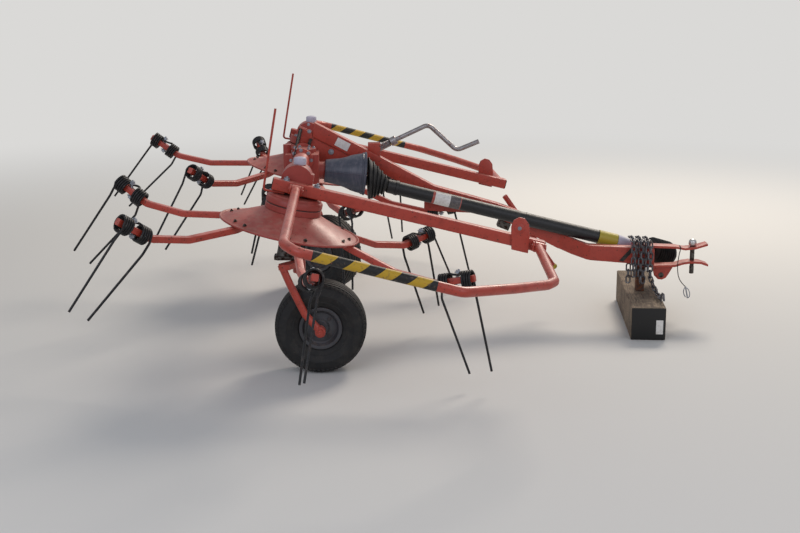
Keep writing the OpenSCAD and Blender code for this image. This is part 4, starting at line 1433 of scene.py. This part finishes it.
    def build(self) -> None:
        """Builds the whole shaft."""
        self.cover()
        self.bellows()
        self.tube()
        self.label()
        self.bell()
        softened("pto_joint", 1.0, Coat.OILY, "frame")
        Coat.OILY.on(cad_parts["pto_shaft"].data)


@dataclass
class Gearing:
    """Centre gearbox, cross tubes, gear housings, the fixed columns and the lifting crank."""

    crank_y: float = 130.0
    crank_r: float = 10.5
    threads: int = 44
    cap_screw: Pair = (78.0, 199.2)
    rail_inside: float = 733.0

    def screws(self) -> None:
        """Builds the screws of the housings, the cross tubes' flanges and the gearbox lid."""
        places: list[Place] = []
        for s in SIDES:
            on_cap = shift(self.cap_screw[0], 0, self.cap_screw[1])
            spots = [on_rotor(s) @ spun(60 * k + 30) @ on_cap for k in range(6)]
            places += [Place(m, 0.7) for m in spots if abs(m.translation.y) < self.rail_inside]
            places += bolt_circle((30, s * 92.2, GEAR_Z), 44, 8, (0, s, 0), 0.6)
            places += bolt_circle((38, s * (ROTOR_Y - 82.1), GEAR_Z + 14), 53, 8, (0, -s, 0), 0.6)
        places += bolt_circle((40, 0, GEAR_Z + 41.2), 42, 6, (0, 0, 1), 0.6)
        put_copies("gear_screws", hex_bolt(), places, Coat.ZINC, "frame", "zinc")

    def crank(self) -> None:
        """Builds the bent crank, its collar and its threaded nose."""
        y = self.crank_y
        line = rounded([(440, y, GEAR_Z + 56), (594, y, GEAR_Z + 128), (722, y, GEAR_Z + 10),
                        (822, y, GEAR_Z + 51)], 34, 8)
        shape = sweep(line, circle(self.crank_r, 24), ACROSS)
        axis = (87, 0, 44)
        thread = [(16 - (k % 2) * 1.6, 2.0 + k * 2.0) for k in range(self.threads)]
        nose = lathe([(0.0, 0.0)] + thread + [(0.0, 92.0)], 32)
        shape.add(nose, aim((342, y, GEAR_Z + 6), axis))
        shape.add(drum(0, 20, 0, 29, 2), aim((424, y, GEAR_Z + 47.5), axis))
        put("crank_tube", shape, Coat.CRANK, "frame", "zinc", "crank_spindle")
        softened("crank_mount", 2.0, Coat.RED, "frame")

    def build(self) -> None:
        """Builds the castings, the tubes, their screws and the crank."""
        softened("centre_gearbox", 5.0, Coat.CAST, "frame", 3)
        softened("gear_housings", 3.0, Coat.CAST, "frame", 3)
        softened("cross_tubes", 1.5, Coat.RED, "frame")
        softened("columns", 2.0, Coat.OILY, "frame")
        self.screws()
        self.crank()


@dataclass
class Chain:
    """Safety chain: strands over the drawbar, a run on the timber, and its hook."""

    wire: float = 7.0
    pitch: float = 28.0
    inner: float = 5.5
    play: float = 0.8
    strands: tuple[tuple[int, tuple[Point, ...]], ...] = (
        (8, ((1520, 26, 230.2), (1520, -30, 230.2), (1520, -50, 210), (1520, -50, 20))),
        (9, ((1552, 26, 227.8), (1552, -30, 227.8), (1552, -50, 208), (1552, -52, 5))),
        (15, ((1584, 26, 225.5), (1584, -30, 225.5), (1584, -50, 206), (1584, -52, 75), (1592, -92, 40),
              (1600, -135, 19), (1599, -240, 15))),
        (3, ((1492, -14, 123.4), (1492, -17, 10))),
        (9, ((1504, 30, 243), (1504, -40, 243), (1504, -66, 222), (1504, -68, 20))),
        (10, ((1536, 30, 242), (1536, -40, 242), (1536, -66, 220), (1536, -70, 18))),
        (8, ((1568, 30, 240), (1568, -40, 240), (1568, -66, 218), (1568, -70, 50))))
    hook: tuple[Point, ...] = ((1597, -238, 6), (1599, -246, 44), (1603, -262, 46), (1605, -266, 14))
    hook_r: float = 4.5
    hook_bend: float = 9.0

    def link(self) -> Shape:
        """Returns one welded link, its long side along Z."""
        half, r = self.pitch / 2 - self.inner, self.inner + self.wire / 2
        steps, sides = 16, 8
        ring = []
        for k in range(steps):
            a = math.radians(360 * (k + 0.5) / steps)
            x, z = r * math.cos(a), r * math.sin(a)
            ring.append(Vector((x, 0, z + (half if z > 0 else -half))))
        shape = Shape()
        for i, p in enumerate(ring):
            out = (ring[(i + 1) % steps] - ring[i - 1]).normalized().cross(ACROSS)
            shape.points += [p + out * x + ACROSS * y for x, y in circle(self.wire / 2, sides)]
            j = (i + 1) % steps
            for k in range(sides):
                m = (k + 1) % sides
                shape.faces.append((i * sides + k, i * sides + m, j * sides + m, j * sides + k))
        return shape

    def build(self) -> None:
        """Builds the strands, each link a quarter turn from the last, and the hook."""
        places: list[Place] = []
        step = self.pitch - self.play
        for count, path in self.strands:
            line = raised(path, TIMBER_H)
            for i in range(count):
                a, b = walk(line, i * step), walk(line, (i + 1) * step)
                v = (b - a).normalized()
                lean = Matrix.Rotation(math.acos(max(-1.0, min(1.0, v.z))), 4, "Y")
                turn = Matrix.Rotation(math.atan2(v.y, v.x), 4, "Z") @ lean @ spun((i + 1) % 2 * 90)
                places.append(Place(Matrix.Translation((a + b) / 2) @ turn))
        put_copies("chain_links", self.link(), places, Coat.CHAIN, "frame", "chain", "chain", smooth_deg=60)
        hook = sweep(rounded(raised(self.hook, TIMBER_H), self.hook_bend, 6), circle(self.hook_r, 14))
        put("chain_hook", hook, Coat.CHAIN, "frame", "chain")


@dataclass
class Tether:
    """Coated wire that keeps the hitch pin, and the ring and clip at its far end."""

    wire_d: float = 4.0
    clip_at: Point = (1751, -38, TIMBER_H)
    route: tuple[Point, ...] = (
        (1722, -4, 205.8), (1722, -14, 205.8), (1722, -24, 205.8), (1722, -29.6, 205.2),
        (1721.5, -33.3, 202.5), (1720.5, -34.6, 196), (1718.5, -35.5, 187), (1715.5, -36.5, 174),
        (1712.5, -37.5, 156), (1710.5, -38, 138), (1710, -38, 118), (1711, -38, 98), (1714, -38, 78),
        (1720, -38, 60), (1729, -38, 45), (1739, -38, 33.5), (1748, -38, 25))

    def wire(self, points: Sequence[Vector]) -> bpy.types.Object:
        """Returns the wire as a curve through points in metres in the row frame."""
        curve = bpy.data.curves.new("tether_wire", "CURVE")
        curve.dimensions = "3D"
        curve.bevel_depth = self.wire_d / 2000
        curve.bevel_resolution = 4
        curve.use_fill_caps = True
        spline = curve.splines.new("POLY")
        spline.points.add(len(points) - 1)
        for point, p in zip(spline.points, points):
            point.co = (p.x, p.y, p.z, 1)
        Coat.BOOT.on(curve)
        return standing("tether_wire", curve)

    def clip(self) -> bpy.types.Object:
        """Builds the oval ring of the clip, its pin and the ferrule on the wire."""
        base = Vector(self.clip_at)
        ring = []
        for k in range(29):
            a = math.radians(-96 + 340 * k / 28)
            c, s = math.cos(a), math.sin(a)
            ring.append(base + Vector((5 + 14 * c - 3 * s, 0, -5 + 23 * s - 3 * c)))
        shape = sweep(ring, circle(2.2, 12), ACROSS)
        shape.add(rod(base + Vector((0, 0, 17.6)), base + Vector((10, 0, -28)), 3.2))
        shape.add(rod(base + Vector((0.2, 0, 16)), base + Vector((-2.4, 0, 24.4)), 4.2))
        return put("tether_ring", shape, Coat.ZINC, "frame", "zinc", "tether_clip", smooth_deg=50)

    def build(self) -> None:
        pts = [TO_ROW @ p for p in raised(self.route, TIMBER_H)]
        wire = self.wire(pts)
        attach(wire, "frame")
        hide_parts("tether")
        clip = self.clip()


@dataclass
class Timber:
    """Sawn timber under the drawbar, with worn edges, a black sheet of painted shade on its near end and a
    blank label.
    """

    width: float = 150.0
    length: float = 730.0
    cuts: int = 30
    seed: int = 11
    place: Matrix = field(default_factory=lambda: shift(1561, 40, 0) @ spun(-5))

    def block(self) -> Shape:
        """Returns the block with its sides and top edges slightly uneven."""
        end, top = self.length / 2, TIMBER_H
        bm = bmesh.new()
        bmesh.ops.create_cube(bm, size=1.0)
        bmesh.ops.scale(bm, vec=(self.width, self.length, top), verts=bm.verts)
        bmesh.ops.translate(bm, vec=(0, 0, top / 2), verts=bm.verts)
        bmesh.ops.bevel(bm, geom=bm.edges[:], offset=6, segments=3, profile=0.5, affect="EDGES")
        for k in range(1, self.cuts):
            bmesh.ops.bisect_plane(bm, geom=bm.verts[:] + bm.edges[:] + bm.faces[:], plane_no=ACROSS,
                                   plane_co=(0, -end + self.length * k / self.cuts, 0))
        rng = random.Random(self.seed)
        for v in bm.verts:
            if 2 < v.co.z < top - 0.1 and abs(v.co.y) < end - 0.1:
                v.co.x *= 1 - rng.random() * 0.006
            if top - 7 < v.co.z < top - 0.1:
                v.co.z -= rng.random() * 1.2
        return Shape.taken(bm)

    def build(self) -> None:
        """Builds the block, the black sheet of painted shade on its near end, and its label."""
        put("timber_block", self.block().at(self.place), Coat.TIMBER, "frame", "timber", "block",
            smooth_deg=50)
        end = -self.length / 2
        # A thin black sheet over the near end is painted shade
        seal = block_shape((self.width - 4, 1.2, TIMBER_H - 5), 0.4)
        seal = seal.at(self.place @ shift(0, end - 0.3, TIMBER_H / 2))
        put("timber_seal", seal, Coat.TAR, "frame", "timber")
        label = block_shape((30, 0.6, 62), 0.2).at(self.place @ shift(48, end - 1.2, TIMBER_H / 2 - 14))
        put("timber_label", label, Coat.LABEL, "frame", "timber")


@dataclass
class Hitch:
    """Drawbar, its plates and tongues, the hitch pin, the straps and the parking stand."""

    pin_x: float = 1782.0
    pin_low: float = TIMBER_H + 77
    stand_top: Point = (945, 161, GEAR_Z - 203.7)
    stand_end: Point = (1174, 161, GEAR_Z - 530.9)
    stand_r: float = 12.0
    stud: tuple[Pair, ...] = ((0, -0.5), (4.4, -0.5), (4.4, 0.6), (3, 2), (0, 2.6))

    def pin(self) -> None:
        """Builds the hitch pin with its groove and its pale cast head."""
        shank = [(0, 0), (8.5, 0), (10, 1.8), (10, 36), (8.5, 36.3), (8.5, 41.7), (10, 42), (10, 127),
                 (12, 128), (15, 130), (0, 130)]
        head = [(0, 130.1), (15, 130.1), (17.4, 134), (18, 138), (17.8, 143), (16.6, 149), (14, 153.5),
                (10, 157), (5, 159.4), (0, 160)]
        place = shift(self.pin_x, 0, self.pin_low)
        put("pin_body", lathe(shank, 48).at(place), Coat.OILY, "frame", "zinc", "hitch_pin")
        put("pin_head", lathe(head, 48).at(place), Coat.KNOB, "frame", "zinc")

    def stand(self) -> None:
        """Builds the parking stand's tube, cap and holder."""
        a, b = Vector(self.stand_top), Vector(self.stand_end)
        r, long = self.stand_r, (b - a).length
        tube = lathe([(0, 0), (r - 1.5, 0), (r, 1.5), (r, long), (0, long)], 32)
        put("stand_leg", tube.at(aim(a, b - a)), Coat.RED, "stand", "paint", "stand_tube")
        cap = lathe([(0, 0.3), (14.5, 0.3), (16, 1.8), (16, 12), (14, 16.5), (9, 18.6), (0, 19.2)], 32)
        put("stand_foot", cap.at(aim(b, b - a)), Coat.BAND, "stand", "band", "stand_cap")
        softened("stand_holder", 1.5, Coat.RED, "frame")

    def straps(self) -> None:
        """Builds the strap on the drawbar and the studded strap on the rear bracket."""
        outline = [(1446, 144), (1464, 139), (1512, 192), (1496, 199)]
        upright = Matrix(((1, 0, 0, 0), (0, 0, 1, 0), (0, 1, 0, TIMBER_H), (0, 0, 0, 1)))
        strap = prism(outline, -31.0, -28.3).at(upright)
        put("bar_strap", strap, Coat.STRAP, "frame", "strap", "drawbar_strap")
        softened("gear_strap", 1.2, Coat.STRAP, "frame")
        line = rounded([(22, 110, 869), (9, -97.5, 815), (-9, -97.5, 744)], 14, 6)
        put("stud_strap", sweep(line, square(3.0, 15, 0.8)), Coat.STRAP, "frame", "strap")
        studs = Shape()
        spots = [(8 - k * 4.6, -99.0, 808 - k * 18) for k in range(4)]
        spots += [(20 - k * 9, 102.3, 862 - k * 34) for k in range(3)]
        for spot in spots:
            studs.add(lathe(self.stud, 20), aim(spot, (0, -1, 0)))
        put("strap_studs", studs, Coat.ZINC, "frame", "zinc")

    def small_parts(self) -> None:
        """Adds a bush, a clamp under the drawbar, its weld strip, a blank label and two breather caps."""
        ring = [(0, 0), (5, -0.2), (11, -0.6), (12, 0.4), (12, 2.2), (8.4, 2.6), (8.4, 12), (0, 12)]
        bush = lathe(ring, 40).at(aim((1642, -14.4, TIMBER_H + 73), ACROSS))
        put("lug_bush", bush, Coat.OILY, "frame", "steel")
        clamp = block_shape((56, 50, 34), 3.0).at(shift(938, 112, GEAR_Z - 327.5) @ spun(21.7, "Y"))
        put("bar_clamp", clamp, Coat.OILY, "frame", "steel")
        strip = prism([(72, 57), (238, -25), (240, -10.2), (78, 70.3)], 0, 9.4)
        upright = Matrix(((1, 0, 0, 0), (0, 0, 1, 114.3), (0, 1, 0, GEAR_Z), (0, 0, 0, 1)))
        put("bar_weld_plate", strip.at(upright), Coat.RED, "frame", "paint")
        label = block_shape((64, 0.6, 38), 0.2).at(shift(208, 107.05, 800) @ spun(-1.72) @ spun(27.6, "Y"))
        put("bar_label", label, Coat.LABEL, "frame", "paint")
        cap = lathe([(0, 0), (24, 0), (25, 2), (25, 23), (23.6, 26.6), (19, 29), (10, 31), (0, 31.6)], 48)
        for s in SIDES:
            put("breather_cap_" + side_name(s), cap.at(shift(50, s * 689, GEAR_Z + 72)), Coat.PALE, "frame",
                "cover")

    def bracket_bolts(self) -> None:
        """Builds the three bolts of the drawbar's rear bracket."""
        spots = ((49, 769, 1.0), (156, 766, 1.0), (60, GEAR_Z + 100, 0.7))
        places = [Place(aim((x, 113.6, z), (0, -1, 0)), size) for x, z, size in spots]
        put_copies("bracket_bolts", hex_bolt(), places, Coat.ZINC, "frame", "zinc")

    def build(self) -> None:
        """Builds the whole front end."""
        Timber().build()
        softened("drawbar", 6.0, Coat.RED, "frame", 3)
        softened("drawbar_plates", 1.6, Coat.RED, "frame", 3)
        softened("hitch_tongues", 2.5, Coat.RED, "frame", 3)
        softened("rest_leg", 3.0, Coat.RUSTY, "frame", 3)
        Chain().build()
        Tether().build()
        self.pin()
        self.stand()
        self.straps()
        self.small_parts()
        self.bracket_bolts()


# Studio

@dataclass
class Studio:
    """Camera, floor, backdrop and lamps, in metres in the row frame."""

    spot: Point = (-0.164, -6.284, 1.676)
    yaw_deg: float = 1.62
    pitch_deg: float = 12.68
    # The photograph's focal length and width in pixels, on a sensor 36 mm wide
    lens: float = 1432.9 / 800 * 36
    lamps: tuple[tuple[str, Point, float, float, str], ...] = (
        ("key", (2.6, 4.2, 4.6), 300, 2.0, "#FFF3E4"),
        ("fill", (-3.2, -5.4, 3.4), 80, 3.2, "#E8EEFF"),
        ("front", (3.0, -4.6, 2.4), 40, 2.6, "#F4F4FF"))
    lamps_aim: Point = (0.2, 0, 0.4)
    backdrop: str = "#DAD9D7"
    ground: str = "#CFCECB"
    ground_fade: Pair = (2.5, 7.0)
    sky_colour: str = "#E4E8EE"
    sky_power: float = 0.50

    def camera(self) -> None:
        """Sets the camera at the photograph's viewing angle."""
        data = bpy.data.cameras.new("view")
        data.lens, data.sensor_width, data.sensor_fit = self.lens, 36, "HORIZONTAL"
        data.clip_end = 60
        made = standing("view", data)
        made.location = self.spot
        made.rotation_euler = (math.radians(90 - self.pitch_deg), 0, math.radians(-self.yaw_deg))
        bpy.context.scene.camera = made

    def lamp(self, name: str, spot: Point, power: float, size: float, colour: str) -> None:
        """Adds one soft square lamp that faces the machine.

        Args:
            name: Name of the lamp.
            spot: Where it hangs.
            power: Its power in watts.
            size: Its width.
            colour: Its colour as a hex code.
        """
        data = bpy.data.lights.new(name, "AREA")
        data.energy, data.size = power, size
        data.color = linear(colour)[:3]
        made = standing(name, data)
        made.location = spot
        made.rotation_euler = (Vector(self.lamps_aim) - Vector(spot)).to_track_quat("-Z", "Y").to_euler()

    def floor(self) -> None:
        """Adds the pale floor, which keeps the machine's shadow and fades into the backdrop."""
        half = 30
        mesh = bpy.data.meshes.new("floor")
        mesh.from_pydata([(x * half, y * half, 0) for x, y in ((-1, -1), (1, -1), (1, 1), (-1, 1))], [],
                         [(0, 1, 2, 3)])
        coat = bpy.data.materials.new("Pale studio floor")
        coat.use_nodes = True
        tree = coat.node_tree
        where = add_node(tree, "ShaderNodeTexCoord").outputs["Object"]
        on = Brush(tree, tree.nodes["Principled BSDF"], where)
        feed(tree, on.shader, {"Base Color": linear(self.ground), "Roughness": 0.9})
        reach = on.node("ShaderNodeVectorMath", {0: where}, operation="LENGTH").outputs["Value"]
        near, away = self.ground_fade
        far = on.node("ShaderNodeMapRange", {"Value": reach, "From Min": near, "From Max": away},
                      clamp=True, interpolation_type="SMOOTHSTEP").outputs[0]
        glow = on.node("ShaderNodeEmission", {0: linear(self.backdrop), 1: 1.0})
        seen = on.node("ShaderNodeLightPath").outputs["Is Camera Ray"]
        mixed = on.node("ShaderNodeMixShader", {0: on.times(far, seen), 1: on.shader.outputs[0],
                        2: glow.outputs[0]})
        feed(tree, tree.nodes["Material Output"], {0: mixed.outputs[0]})
        mesh.materials.append(coat)
        made = standing("floor", mesh)

    def sky(self) -> None:
        """Sets the light of the surroundings and the backdrop that the camera sees."""
        world = bpy.data.worlds.new("Studio")
        world.use_nodes = True
        tree = world.node_tree
        sky = tree.nodes["Background"]
        feed(tree, sky, {0: linear(self.sky_colour), 1: self.sky_power})
        wall = add_node(tree, "ShaderNodeBackground", {0: linear(self.backdrop), 1: 1.0})
        seen = add_node(tree, "ShaderNodeLightPath").outputs["Is Camera Ray"]
        mixed = add_node(tree, "ShaderNodeMixShader", {0: seen, 1: sky.outputs[0], 2: wall.outputs[0]})
        feed(tree, tree.nodes["World Output"], {0: mixed.outputs[0]})
        bpy.context.scene.world = world
        bpy.context.scene.view_settings.view_transform = "Standard"

    def build(self) -> None:
        """Builds the studio."""
        self.camera()
        self.floor()
        self.sky()
        for lamp in self.lamps:
            self.lamp(*lamp)


def main() -> None:
    """Builds the studio and every sub-assembly."""
    logging.basicConfig(level=logging.INFO, format="%(message)s")
    Studio().build()
    Hitch().build()
    for rotor in (Rotor(-1, -20.7, 1), Rotor(1, -9.3, -1)):
        rotor.build()
    for wheel in (Wheel(-1, 0.0), Wheel(1, -35.0)):
        wheel.build()
    for side in SIDES:
        GuardHoop(side).build()
    SideFrames().build()
    DriveShaft().build()
    Gearing().build()


if __name__ == "__main__":
    main()
